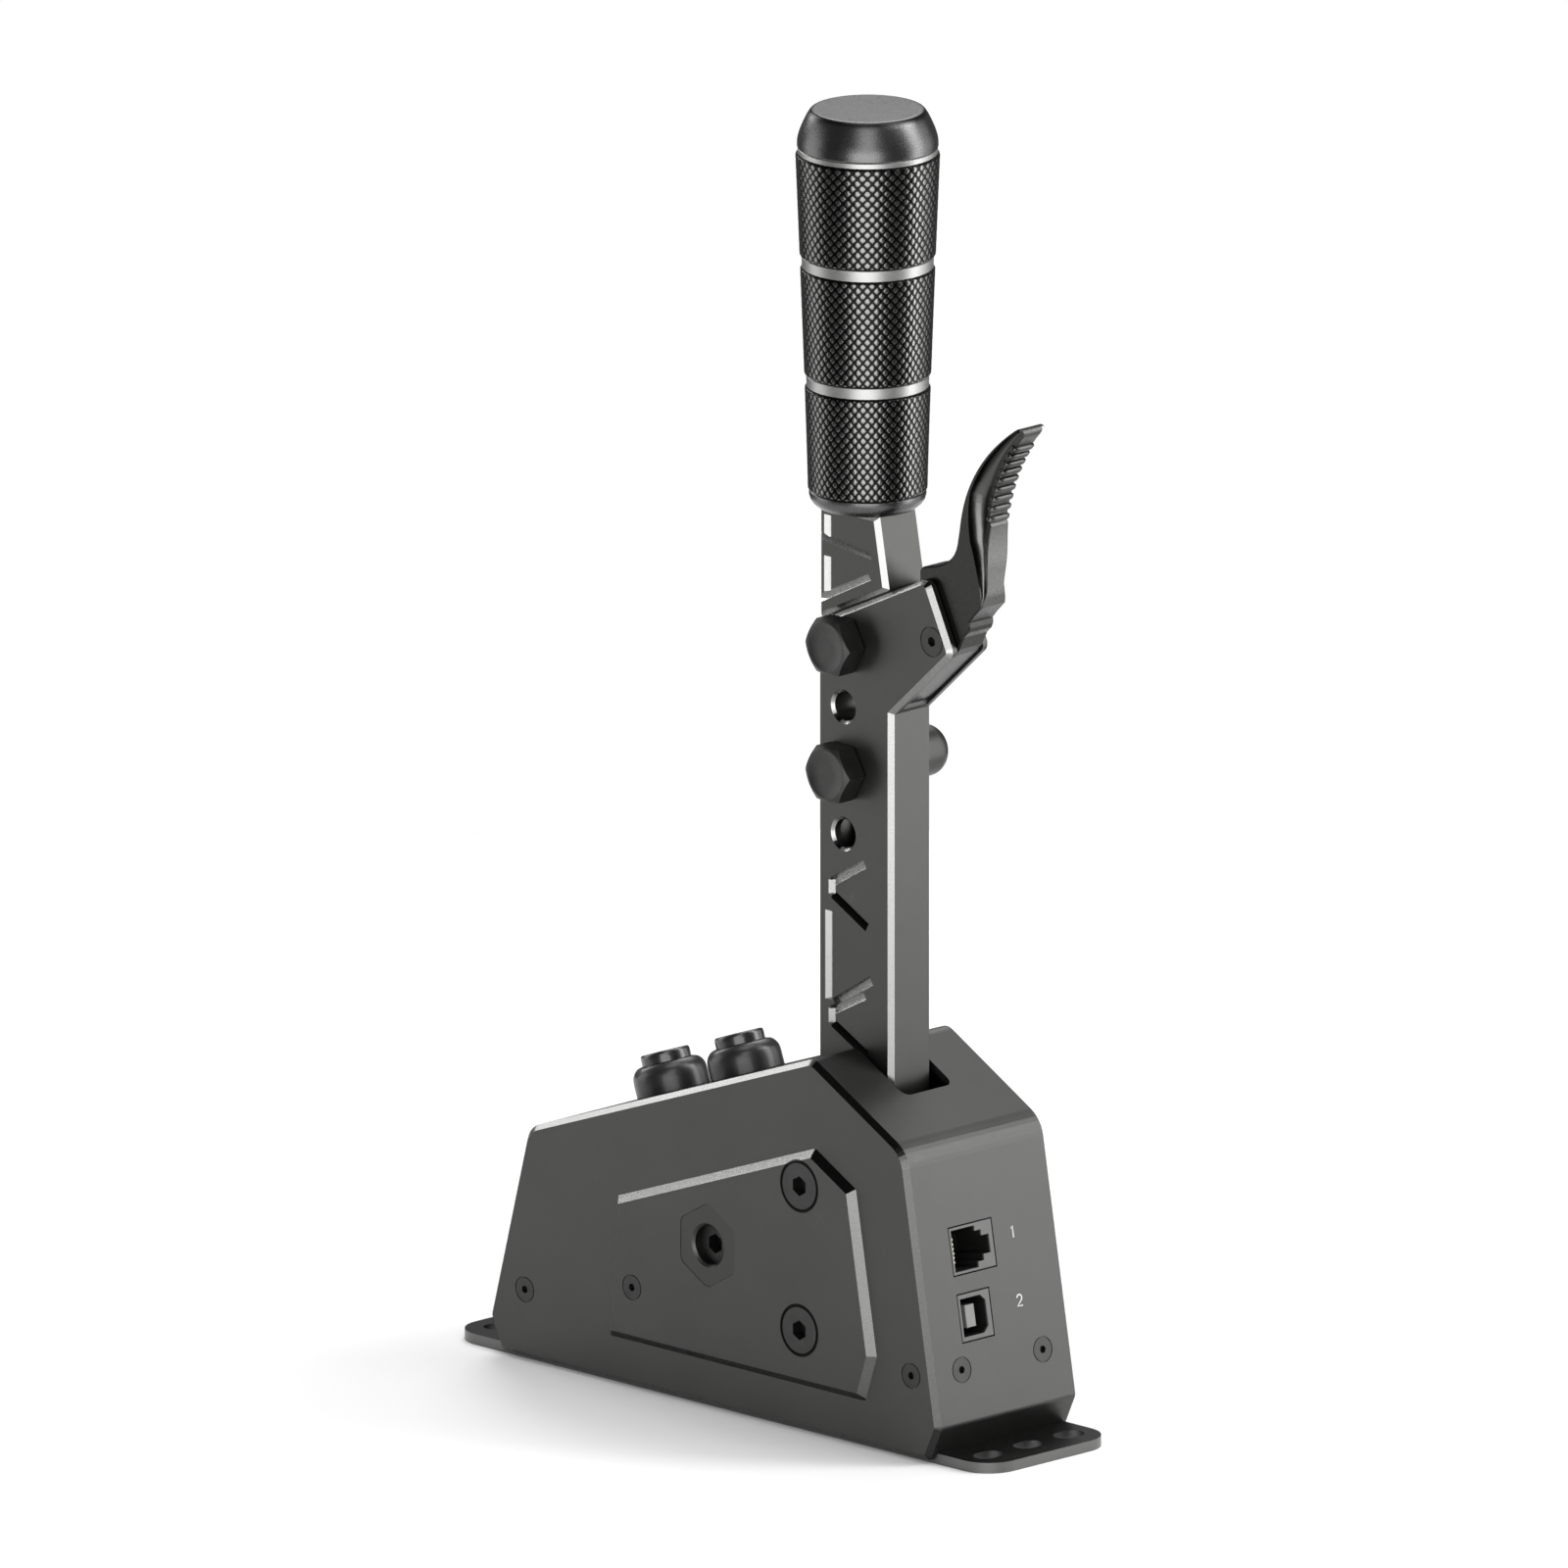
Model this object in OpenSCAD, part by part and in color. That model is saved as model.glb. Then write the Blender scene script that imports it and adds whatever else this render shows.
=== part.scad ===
// Desk-mounted gear shifter for a driving simulator.
// X points away from the driver towards the ports, Y across, Z up.
// The origin is on the underside of the base plate, at its middle.

/* [Base plate] */
// Length of the base plate along X
base_l = 209; // [190:1:240]
// Width of the base plate
base_w = 49; // [44:0.5:60]
// Thickness of the base plate
base_t = 3; // [2:0.5:4]
// Corner radius of the base plate
base_corner_r = 9.5; // [4:0.5:12]
// Distance of the front slots from the front end
front_slot_inset = 9.1; // [7:0.1:10]
// Distance of the rear holes from the rear end
rear_hole_inset = 8; // [6:0.5:9]
// Radius of the fixing holes and half the width of the slots
fixing_r = 3.3; // [2.2:0.1:3.6]
// Length of a front slot from end to end
slot_l = 9.6; // [8:0.1:12]
// Spacing of the front slots
front_slot_pitch = 15.5; // [13.5:0.5:17]
// Spacing of the rear holes
rear_hole_pitch = 15; // [11:0.5:17]

/* [Housing] */
// Thickness of a flank plate
flank_t = 2.6; // [2:0.1:4]
// Lean of the rear face from upright
rear_lean = 14.8; // [8:0.2:20]
// Slope of the deck that carries the buttons
deck_tilt = 19.9; // [15:0.1:22]
// Slope of the shoulder in front of the lever
shoulder_tilt = 28.8; // [25:0.2:34]
// Lean of the port face from upright
port_lean = 10; // [4:0.5:13]
// Place of the deck's highest edge along X
peak_x = 38.2; // [34:0.2:42]
// Height of the deck's highest edge
peak_z = 106.3; // [100:0.1:112]
// Height of the bends low on the rear and port faces
knee_z = 10.7; // [9:0.1:12]
// Place of the rear bend along X
rear_knee_x = -87.1; // [-92:0.1:-85]
// Place of the front bend along X
front_knee_x = 87.7; // [86:0.1:90]
// How far the faces draw in below the bends
knee_draw = 4.5; // [3:0.1:5.5]
// Thickness of the folded cover between the flanks
cover_t = 2; // [1.5:0.1:2.5]
// Width of the bright chamfer round each flank
edge_chamfer = 1.5; // [0.8:0.1:1.8]
// Height of the raised field on each flank
field_h = 1.9; // [1:0.1:2.5]
// Width of the chamfer round the raised field
field_chamfer = 2.2; // [1:0.1:2.6]

/* [Ports and buttons] */
// Height of the middle of the network jack
jack_z = 57; // [56:0.5:60]
// Height of the middle of the USB socket
usb_z = 38.7; // [37:0.1:40]
// Place of the first button along X
button_1_x = -42.2; // [-46:0.2:-40]
// Place of the second button along X
button_2_x = -13.5; // [-15:0.5:-9]
// Radius of a button collar
collar_r = 10.4; // [9.4:0.1:12]
// Height of a button collar over the deck
collar_h = 8.4; // [6:0.1:10]
// Radius of a button cap
cap_r = 6.95; // [5.5:0.05:7.2]
// How far a button cap stands over its collar
cap_over = 3; // [2:0.1:4]
// Travel of a button
button_travel = 1.5; // [1:0.1:1.8]

/* [Lever] */
// Place of the lever's axis along X
pivot_x = 35.6; // [33:0.1:38]
// Height of the lever's pivot
pivot_z = 29.5; // [28:0.1:31]
// Height of the stop pin
stop_z = 70.3; // [66:0.1:74]
// Throw of the lever to each side
throw_deg = 5; // [3:0.5:5]
// Width of the lower arm along X
arm_w = 28.9; // [27:0.1:31]
// Thickness of the lower arm and the upper bar
arm_t = 16; // [14:0.5:16.5]
// Chamfer along the edges of the lower arm and the upper bar
arm_chamfer = 1.35; // [0.6:0.05:1.6]
// Height of the top clamp bolt
bolt_z = 219.3; // [218:0.1:220]
// Spacing of the clamp holes
bolt_pitch = 18; // [17.5:0.1:18.5]
// Radius of a clamp bolt's shank
bolt_r = 4; // [3:0.1:4.5]
// Width of the pocket that takes the tongue and the finger lever
pocket_w = 10; // [8:0.5:11]
// Width of the finger lever
finger_w = 9.4; // [7:0.1:9.4]

/* [Knob] */
// Place of the knob's axis along X
knob_x = 32.9; // [32:0.1:34]
// Height of the underside of the knob
knob_z = 257.3; // [256:0.1:260]
// Height of the grip from its underside to the thin ring
grip_h = 99.7; // [97:0.1:104]
// Radius of the grip at its top end
grip_top_r = 19.85; // [18.5:0.05:21]
// Radius of the grip at its lower end
grip_low_r = 16.4; // [15.5:0.05:17.5]
// Height of the cap above the grip
knob_cap_h = 12.4; // [10:0.1:14]
// Height of a bright band in the grip
band_h = 3.5; // [2:0.1:4]
// Depth of a bright band below the grip's surface
band_depth = 0.5; // [0.2:0.1:0.8]

/* [Hidden] */
$fn = 64;

// Small gaps: seat of a screw in its hole, sliding fit, and air between moving pieces
seat_gap = 0.05;
slide_gap = 0.1;
air = 0.3;
// Overshoot of a cut past the face it opens
past = 1;

// Flank plates and the space between them
side_y = base_w / 2 + slide_gap;
flank_y = side_y + flank_t;
field_y = flank_y + field_h;
housing_z = 1;

// Points of the housing's side outline: where the rear face meets the deck, and so on
function crossing(p, a, q, b) =
    p + [cos(a), sin(a)] * cross(q - p, [cos(b), sin(b)]) / cross([cos(a), sin(a)], [cos(b), sin(b)]);
rear_knee = [rear_knee_x, knee_z];
front_knee = [front_knee_x, knee_z];
peak = [peak_x, peak_z];
rear_top = crossing(rear_knee, 90 - rear_lean, peak, deck_tilt);
front_top = crossing(peak, -shoulder_tilt, front_knee, 90 + port_lean);
// Each point is X, Z and the radius of its bend
housing_points = [
    [rear_knee_x + knee_draw, housing_z, 0.8], [front_knee_x - knee_draw, housing_z, 0.8],
    [front_knee_x, knee_z, 2.2], [front_top[0], front_top[1], 9.5], [peak_x, peak_z, 4.5],
    [rear_top[0], rear_top[1], 7.5], [rear_knee_x, knee_z, 2.2]
];

// Height of the deck over a place along X, and place of the port face at a height
function deck_z(x) = peak_z - (peak_x - x) * tan(deck_tilt);
function shoulder_z(x) = peak_z - (x - peak_x) * tan(shoulder_tilt);
function port_x(z) = front_knee_x - (z - knee_z) * tan(port_lean);

// Raised field on the flank, kept at set distances from the housing's edges
field_drop = 25.5;
field_shoulder_drop = 23.8;
field_port_inset = 21;
field_low = 13.6;
field_rear = -40;
field_top_rear = [field_rear + 3.1, deck_z(field_rear + 3.1) - field_drop];
field_port_line = [port_x(0) - field_port_inset, 0];
field_points = [
    [field_rear, field_low, 1.2], [field_port_line[0] - 9.1, field_low, 1.2],
    [port_x(field_low + 13.2) - field_port_inset, field_low + 13.2, 1.2],
    concat(crossing([peak_x, peak_z - field_shoulder_drop], -shoulder_tilt, field_port_line, 90 + port_lean),
        [1.2]),
    concat(crossing([peak_x, peak_z - field_shoulder_drop], -shoulder_tilt,
        [peak_x, peak_z - field_drop], deck_tilt), [1.2]),
    [field_top_rear[0], field_top_rear[1], 1.2]
];

// Opening for the lever, as long as the throw needs and a little more
slot_room = 0.9;
slot_half_x = arm_w / 2 + (shoulder_z(pivot_x + arm_w / 2 + 6) - pivot_z) * sin(throw_deg) + slot_room;
slot_half_y = 9.35;
slot_r = 2.5;

// Screws: radius of the head and the shank, and radius of the hexagon socket
small_head_r = 3.35;
small_shank_r = 1.6;
small_socket_r = 1.15;
big_head_r = 6.75;
big_shank_r = 4;
big_socket_r = 2.85;
screw_land = 0.3;
mouth_gap = 0.3;
screw_l = 9;
bar_screw_r = 2.5;
bar_screw_l = 14;

// Screws on a flank: X, Z and the Y of the face they sit in
rear_screw = [-72.9, 20.3];
middle_screw = [-29.4, 29.4];
front_screw = [77.1, 24.1];
port_screw_y = 15.6;
port_screw_z = 25.1;
block_screw_y = 14;

// Corner blocks: inner faces, tops and the places of the screws from below
block_front_x0 = 68;
block_front_top = 28.6;
block_front_x = 75;
block_rear_x1 = -66;
block_rear_top = 27;
block_rear_x = -73;

// Cross tie with its flush hexagon nuts
tie_x = 0;
tie_z = 46.8;
tie_r = 5.5;
tie_body_r = 9;
tie_recess = 3;
nut_r = 12;
nut_corner_r = 11.5;

// Pivot of the lever
shaft_r = 6;
run_gap = 0.04;
bush_r = 8;
bush_flange_r = 9.5;
bush_flange_t = 1.1;
spacer_r = 8.5;
stop_r = 4;
stop_sleeve_r = 5.5;
foot_z = pivot_z - 14.4;
rocker_t = 4;
rocker_half = 24;
spring_x = 19;
spring_wire = 1.4;
spring_r = 4.2;
spring_turns = 3;
rocker_w = 14;
rocker_screw_x = 7;

// Outer size of the jack and the socket, across Y and along the face
jack_y = -5.95;
jack_w = 16.9;
jack_h = 13.8;
jack_d = 18;
usb_y = -7.9;
usb_w = 12.6;
usb_h = 13.7;
usb_d = 16;
port_gap = 0.4;
board_t = 1.6;
post_r = 2.4;

// Button parts below the deck
barrel_r = 8;
barrel_drop = 18;
cap_drop = 2;
button_nut_t = 2.6;

// Lower arm and its head
arm_x0 = pivot_x - arm_w / 2;
arm_x1 = pivot_x + arm_w / 2;
clamp_x = pivot_x - 4.1;
head_slope = 25.3;
head_low_angle = 42.4;
head_low_z = bolt_z - 17;
head_rear_z = bolt_z + 4.4;
head_tip = [63.4, head_rear_z + (63.4 - arm_x0) * tan(head_slope)];
head_heel = crossing([arm_x1, head_low_z], head_low_angle, head_tip, -63.9);
shank_points = [
    [arm_x0, foot_z, 5], [arm_x1, foot_z, 5], [arm_x1, head_low_z + 6, 0.5], [arm_x0, head_low_z + 6, 0.5]
];
head_points = [
    [arm_x0, head_low_z - arm_w * tan(head_low_angle), 1.5], [head_heel[0], head_heel[1], 2.6],
    [head_tip[0], head_tip[1], 3], [arm_x0, head_rear_z, 1.2]
];
pocket_wall = 2.9;
pocket_x0 = arm_x0 + pocket_wall;
pocket_x1 = arm_x1 - pocket_wall;
pocket_floor = bolt_z - 3 * bolt_pitch - 10;
fork_floor = head_low_z + 1;
hole_csk_r = 4.85;
groove_depth = 1.35;

// Upper bar
bar_gap = 0.65;
bar_x0 = 21.6;
bar_lean = 10.5;
bar_top_x = 2 * knob_x - bar_x0 + 0.2;
bar_low_z = head_rear_z + (bar_x0 - arm_x0) * tan(head_slope) + bar_gap;
bar_front_low = crossing([bar_x0, bar_low_z], head_slope, [bar_top_x, knob_z], 90 + bar_lean);
bar_points = [
    [bar_x0, bar_low_z, 0.6], [bar_front_low[0], bar_front_low[1], 0.6],
    [bar_top_x, knob_z, 0.4], [bar_x0, knob_z, 0.4]
];
tongue_fit = 0.15;
tongue_low = bolt_z - 2 * bolt_pitch - 9.5;
spigot_r = 8;
spigot_top = knob_z + grip_h - 11.7;

// Clamp bolts and dome nuts
bolt_head_r = 8.65;
bolt_head_h = 7;
dome_r = 7.25;
dome_l = 21;

// Finger lever: its pivot, and its side outline as X, Z and bend radius
finger_x = 65.7;
finger_z = bolt_z + 6.8;
finger_pin_r = 2;
finger_head_r = 4;
finger_rear = finger_x - 7.9;
toe_x = arm_x1 + 1.1;
toe_z = fork_floor + 3;
finger_edge = 1;
function bend(a, b, c, n) = [for (k = [0 : n]) let (t = k / n)
    concat(pow(1 - t, 2) * a + 2 * t * (1 - t) * b + t * t * c, [0])];
finger_front = [[82.5, 252], [83.3, 274], [95.9, 288]];
finger_back = [[94.2, 290.4], [75.2, 277.5], [72.9, 259]];
finger_shift = finger_z - 226.1;
finger_points = [for (p = concat(
    [[toe_x, 204.6, 0.6], [toe_x + 2.3, 206.1, 0.6], [72.6, 223.6, 3], [76, 231, 9], [81.8, 238.4, 0.5],
        [80.8, 240.2, 0.8]],
    bend(finger_front[0], finger_front[1], finger_front[2], 14),
    [[97.2, 290, 0.9], [95.9, 291.4, 0.9]],
    bend(finger_back[0], finger_back[1], finger_back[2], 12),
    [[70.9, 246.8, 6.5], [finger_rear, 245.3, 1.5], [finger_rear, 217.5, 1], [toe_x, 217.5, 1]]))
    [p[0], p[1] + finger_shift, p[2]]];
rib_count = 9;
rib_r = 1;

// Knob: heights of its bright bands, and the grip's radius at a height
grip_top = knob_z + grip_h;
ring_h = 1.8;
grip_taper_h = 4.7;
band_1 = knob_z + grip_h * 0.676;
band_2 = knob_z + grip_h * 0.339;
function grip_r(z) = grip_low_r + (grip_top_r - grip_low_r)
    * pow((z - knob_z - grip_taper_h) / (grip_h - grip_taper_h), 1.15);
core_r = 13.2;
knob_screw_r = 3;
knob_screw_l = 26;

// Inward normal of an edge of an outline that runs anticlockwise
function inward(p, q) = [p[1] - q[1], q[0] - p[0]] / norm([q[0] - p[0], q[1] - p[1]]);

// Sign of the turn at a corner, 1 where the outline bulges and -1 where it is hollow
function turn_at(p, v, q) = atan2(cross([v[0] - p[0], v[1] - p[1]], [q[0] - v[0], q[1] - v[1]]),
    (v[0] - p[0]) * (q[0] - v[0]) + (v[1] - p[1]) * (q[1] - v[1]));

// Corner v of an outline moved inwards by d, rounded to its own radius
function corner(p, v, q, d, steps) =
    let (a = inward(p, v), b = inward(v, q), mitre = (a + b) / (1 + a * b), turn = turn_at(p, v, q),
        s = sign(turn), r = v[2] <= 0 ? 0 : max(v[2] - s * d, 0.05), tip = [v[0], v[1]] + d * mitre)
    v[2] <= 0 ? [tip] :
    let (centre = tip + s * r * mitre, start = atan2(-s * a[1], -s * a[0]))
    [for (k = [0 : steps]) centre + r * [cos(start + turn * k / steps), sin(start + turn * k / steps)]];

function outline(pts, d = 0, steps = 6) = let (n = len(pts))
    [for (i = [0 : n - 1]) each corner(pts[(i + n - 1) % n], pts[i], pts[(i + 1) % n], d, steps)];

// Plate of thickness t with an outline, its lower and upper rims cut back by a chamfer
module bevel_plate(pts, t, low = 0, high = 0, high_run = -1) {
    run = high_run < 0 ? high : high_run;
    levels = concat(low > 0 ? [[0, low]] : [], [[low, 0], [t - high, 0]], high > 0 ? [[t, run]] : []);
    rings = [for (l = levels) outline(pts, l[1])];
    n = len(rings[0]);
    m = len(levels);
    points = [for (k = [0 : m - 1]) for (p = rings[k]) [p[0], p[1], levels[k][0]]];
    sides = [for (k = [0 : m - 2]) for (i = [0 : n - 1])
        [k * n + i, (k + 1) * n + i, (k + 1) * n + (i + 1) % n, k * n + (i + 1) % n]];
    caps = [[for (i = [0 : n - 1]) i], [for (i = [n - 1 : -1 : 0]) (m - 1) * n + i]];
    polyhedron(points, concat(sides, caps));
}

// Stands a drawing in X and Z upright, its thickness running towards -Y from y
module upright(y) {
    translate([0, y, 0]) rotate([90, 0, 0]) children();
}

// Places a shape on an axis along Y, its +Z turned to -Y
module on_side(x, y, z) {
    translate([x, y, z]) rotate([90, 0, 0]) children();
}

// Local frames with +Z out of the deck and out of the port face
module on_deck(x) {
    translate([x, 0, deck_z(x)]) rotate([0, -deck_tilt, 0]) children();
}

module on_port(y, z) {
    translate([port_x(z), y, z]) rotate([0, 90 - port_lean, 0]) children();
}

module both_sides() {
    children();
    mirror([0, 1, 0]) children();
}

module countersunk(head_r, shank_r, length, gap = 0, mouth = 0, over = 0) {
    translate([0, 0, -screw_land]) cylinder(h = screw_land + over, r = head_r + mouth);
    translate([0, 0, shank_r - head_r - screw_land])
        cylinder(h = head_r - shank_r, r1 = shank_r + gap, r2 = head_r + gap);
    translate([0, 0, -length - gap]) cylinder(h = length + gap - screw_land, r = shank_r + gap);
}

module screw(head_r, shank_r, socket_r, length) {
    difference() {
        countersunk(head_r, shank_r, length);
        hex_socket(socket_r, socket_r * 1.2);
    }
}

// Hexagon socket with a corner at the top, cut down from Z = 0
module hex_socket(r, depth) {
    translate([0, 0, -depth]) rotate(30) cylinder(h = depth + past, r = r, $fn = 6);
}

module screw_hole(head_r, shank_r, length) {
    countersunk(head_r, shank_r, length, seat_gap, mouth_gap, past);
}

module small_screw() {
    screw(small_head_r, small_shank_r, small_socket_r, screw_l);
}

module small_hole() {
    screw_hole(small_head_r, small_shank_r, screw_l);
}

module tube(h, r_out, r_in) {
    difference() {
        cylinder(h = h, r = r_out);
        translate([0, 0, -past]) cylinder(h = h + 2 * past, r = r_in);
    }
}

// Places of the flank screws on the near side
module at_flank_screws() {
    on_side(rear_screw[0], -flank_y, rear_screw[1]) children();
    on_side(middle_screw[0], -field_y, middle_screw[1]) children();
    on_side(front_screw[0], -flank_y, front_screw[1]) children();
}

module at_port_screws() {
    for (s = [-1, 1]) on_port(s * port_screw_y, port_screw_z) children();
}

// Places of the four screws that hold the blocks from below
module at_base_screws() {
    for (x = [block_front_x, block_rear_x]) for (s = [-1, 1])
        translate([x, s * block_screw_y, 0]) rotate([180, 0, 0]) children();
}

module base_plate() {
    color([0.3, 0.3, 0.3])
    difference() {
        linear_extrude(base_t) rounded_plate(base_l, base_w, base_corner_r);
        for (k = [-1 : 1]) translate([base_l / 2 - front_slot_inset, k * front_slot_pitch, -past])
            linear_extrude(base_t + 2 * past) slot_hole(slot_l, fixing_r);
        for (k = [-1 : 1]) translate([-base_l / 2 + rear_hole_inset, k * rear_hole_pitch, -past])
            cylinder(h = base_t + 2 * past, r = fixing_r);
        at_base_screws() small_hole();
    }
}

module rounded_plate(l, w, r) {
    square([l - 2 * r, w], center = true);
    square([l, w - 2 * r], center = true);
    for (i = [-1, 1]) for (j = [-1, 1]) translate([i * (l / 2 - r), j * (w / 2 - r)]) circle(r);
}

module slot_hole(l, r) {
    square([2 * r, l - 2 * r], center = true);
    for (s = [-1, 1]) translate([0, s * (l / 2 - r)]) circle(r);
}

// Flank plate with its chamfered rim, raised field and fastener seats, near side
module side_plate() {
    difference() {
        union() {
            upright(-side_y) bevel_plate(housing_points, flank_t, high = edge_chamfer);
            upright(-flank_y + 0.5) bevel_plate(field_points, field_h + 0.5, high = field_h,
                high_run = field_chamfer);
        }
        at_flank_screws() small_hole();
        for (z = [pivot_z, stop_z]) on_side(pivot_x, -field_y, z)
            screw_hole(big_head_r, big_shank_r, field_y - side_y + past);
        on_side(tie_x, -side_y + past, tie_z)
            linear_extrude(field_y - side_y + 2 * past) nut_outline(slide_gap);
    }
}

module side_plate_near() {
    color([0.28, 0.28, 0.27]) side_plate();
}

module side_plate_far() {
    color([0.28, 0.28, 0.27]) mirror([0, 1, 0]) side_plate();
}

// Folded cover that wraps the rear, the deck, the shoulder and the port face
module wrap_cover() {
    color([0.42, 0.42, 0.41])
    difference() {
        upright(side_y) linear_extrude(2 * side_y) difference() {
            polygon(outline(housing_points));
            polygon(outline(housing_points, cover_t));
        }
        translate([-base_l / 2, -base_w, -base_t]) cube([base_l, 2 * base_w, 2 * base_t]);
        lever_slot();
        for (x = [button_1_x, button_2_x]) on_deck(x)
            translate([0, 0, -2 * cover_t]) cylinder(h = 4 * cover_t, r = barrel_r + seat_gap);
        port_cut(jack_y, jack_z, jack_w, jack_h);
        port_cut(usb_y, usb_z, usb_w, usb_h);
        at_port_screws() small_hole();
    }
}

module lever_slot() {
    translate([pivot_x, 0, peak_z / 2]) linear_extrude(peak_z)
        rounded_plate(2 * slot_half_x, 2 * slot_half_y, slot_r);
}

module port_cut(y, z, w, h) {
    on_port(y, z) translate([-h / 2, -w / 2, -2 * cover_t]) cube([h, w, 4 * cover_t]);
}

// Blocks that fill the two lower corners and take the screws
module corner_block(x0, x1, top) {
    upright(side_y) linear_extrude(2 * side_y) intersection() {
        polygon(outline(housing_points, cover_t));
        translate([x0, base_t]) square([x1 - x0, top - base_t]);
    }
}

module front_block() {
    color([0.55, 0.55, 0.56])
    difference() {
        corner_block(block_front_x0, base_l / 2, block_front_top);
        both_sides() at_flank_screws() small_hole();
        at_port_screws() small_hole();
        at_base_screws() small_hole();
    }
}

module rear_block() {
    color([0.55, 0.55, 0.56])
    difference() {
        corner_block(-base_l / 2, block_rear_x1, block_rear_top);
        both_sides() at_flank_screws() small_hole();
        at_base_screws() small_hole();
    }
}

// Round bars that hold the flanks apart
module middle_tie() {
    color([0.6, 0.6, 0.62])
    difference() {
        on_side(middle_screw[0], side_y, middle_screw[1]) cylinder(h = 2 * side_y, r = 5);
        both_sides() at_flank_screws() small_hole();
    }
}

module cross_tie() {
    color([0.12, 0.12, 0.12])
    difference() {
        union() {
            on_side(tie_x, side_y, tie_z) cylinder(h = 2 * side_y, r = tie_body_r);
            on_side(tie_x, field_y - tie_recess, tie_z) cylinder(h = 2 * (field_y - tie_recess), r = tie_r);
        }
        both_sides() on_side(tie_x, -field_y + tie_recess, tie_z) hex_socket(big_socket_r, 4);
    }
}

nut_h = field_y - side_y - slide_gap;
nut_bevel = 0.7;

module hex_nuts() {
    color([0.2, 0.2, 0.2])
    both_sides() on_side(tie_x, -side_y, tie_z) difference() {
        linear_extrude(nut_h) nut_outline();
        translate([0, 0, -past]) cylinder(h = nut_h + 2 * past, r = tie_r + seat_gap);
        translate([0, 0, nut_h - nut_bevel])
            cylinder(h = nut_bevel + 0.01, r1 = tie_r + seat_gap, r2 = tie_r + seat_gap + nut_bevel);
    }
}

// Hexagon with a corner at the top, its corners cut back to a circle
module nut_outline(gap = 0) {
    intersection() {
        rotate(30) circle(nut_r + gap, $fn = 6);
        circle(nut_corner_r + gap);
    }
}

module base_screws() {
    color([0.1, 0.1, 0.1]) at_base_screws() small_screw();
}

module flank_screws() {
    color([0.1, 0.1, 0.1]) both_sides() at_flank_screws() small_screw();
}

module port_screws() {
    color([0.1, 0.1, 0.1]) at_port_screws() small_screw();
}

// Fixed shaft that the lever swings on, with the screws that hold it at both ends
module pivot_shaft() {
    color([0.7, 0.7, 0.72]) cross_rod(pivot_z, shaft_r);
}

module cross_rod(z, r) {
    difference() {
        on_side(pivot_x, side_y, z) cylinder(h = 2 * side_y, r = r);
        both_sides() on_side(pivot_x, -field_y, z) screw_hole(big_head_r, bar_screw_r, bar_screw_l);
    }
}

module bar_screws(z) {
    both_sides() on_side(pivot_x, -field_y, z) difference() {
        union() {
            countersunk(big_head_r, big_shank_r, field_y - side_y);
            translate([0, 0, -bar_screw_l]) cylinder(h = bar_screw_l - screw_land, r = bar_screw_r);
        }
        hex_socket(big_socket_r, big_socket_r * 1.2);
    }
}

module pivot_screws() {
    color([0.12, 0.12, 0.12]) bar_screws(pivot_z);
}

module stop_screws() {
    color([0.12, 0.12, 0.12]) bar_screws(stop_z);
}

module pivot_spacers() {
    color([0.15, 0.15, 0.15])
    both_sides() on_side(pivot_x, -arm_t / 2 - bush_flange_t - air, pivot_z)
        tube(side_y - arm_t / 2 - bush_flange_t - air, spacer_r, shaft_r + seat_gap);
}

module stop_pin() {
    color([0.7, 0.7, 0.72]) cross_rod(stop_z, stop_r);
}

module stop_sleeve() {
    color([0.08, 0.08, 0.08])
    on_side(pivot_x, arm_t / 2 + 1, stop_z) tube(arm_t + 2, stop_sleeve_r, stop_r + seat_gap);
}

// Round wire wound up a cylinder, its ends just inside z0 and z1
module coil(x, z0, z1, r, wire, turns) {
    steps = 14;
    sides = 6;
    count = turns * steps;
    low = z0 + wire / 2 + seat_gap;
    rise = z1 - z0 - wire - 2 * seat_gap;
    points = [for (k = [0 : count]) for (j = [0 : sides - 1])
        let (a = 360 * k / steps, b = 360 * j / sides, q = r + wire / 2 * cos(b))
        [x + q * cos(a), q * sin(a), low + rise * k / count + wire / 2 * sin(b)]];
    skin = [for (k = [0 : count - 1]) for (j = [0 : sides - 1])
        [k * sides + j, k * sides + (j + 1) % sides,
            (k + 1) * sides + (j + 1) % sides, (k + 1) * sides + j]];
    ends = [[for (j = [sides - 1 : -1 : 0]) j], [for (j = [0 : sides - 1]) count * sides + j]];
    polyhedron(points, concat(skin, ends));
}

module return_springs() {
    color([0.75, 0.75, 0.77])
    for (s = [-1, 1])
        coil(pivot_x + s * spring_x, base_t, foot_z - rocker_t, spring_r, spring_wire, spring_turns);
}

// Circuit board on the floor of the housing
main_board_x0 = -56;
main_board_x1 = -8;
main_board_w = 36;
main_board_z = 9;

module main_board() {
    color([0.1, 0.3, 0.16])
    translate([main_board_x0, -main_board_w / 2, main_board_z])
        cube([main_board_x1 - main_board_x0, main_board_w, board_t]);
    color([0.08, 0.08, 0.08]) translate([main_board_x0 + 20, -5, main_board_z + board_t]) cube([10, 10, 1.2]);
    color([0.9, 0.9, 0.86]) for (k = [0 : 3])
        translate([main_board_x0 + 4, -15 + 8 * k, main_board_z + board_t]) cube([5, 6, 5]);
}

module board_posts() {
    color([0.75, 0.65, 0.35])
    for (x = [main_board_x0 + 4, main_board_x1 - 4]) for (s = [-1, 1])
        translate([x, s * (main_board_w / 2 - 3.5), base_t]) cylinder(h = main_board_z - base_t, r = post_r);
}

// Upright board that carries the jack and the socket, beside their contact sides
port_board_y = jack_y - jack_w / 2 + port_gap;

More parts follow.
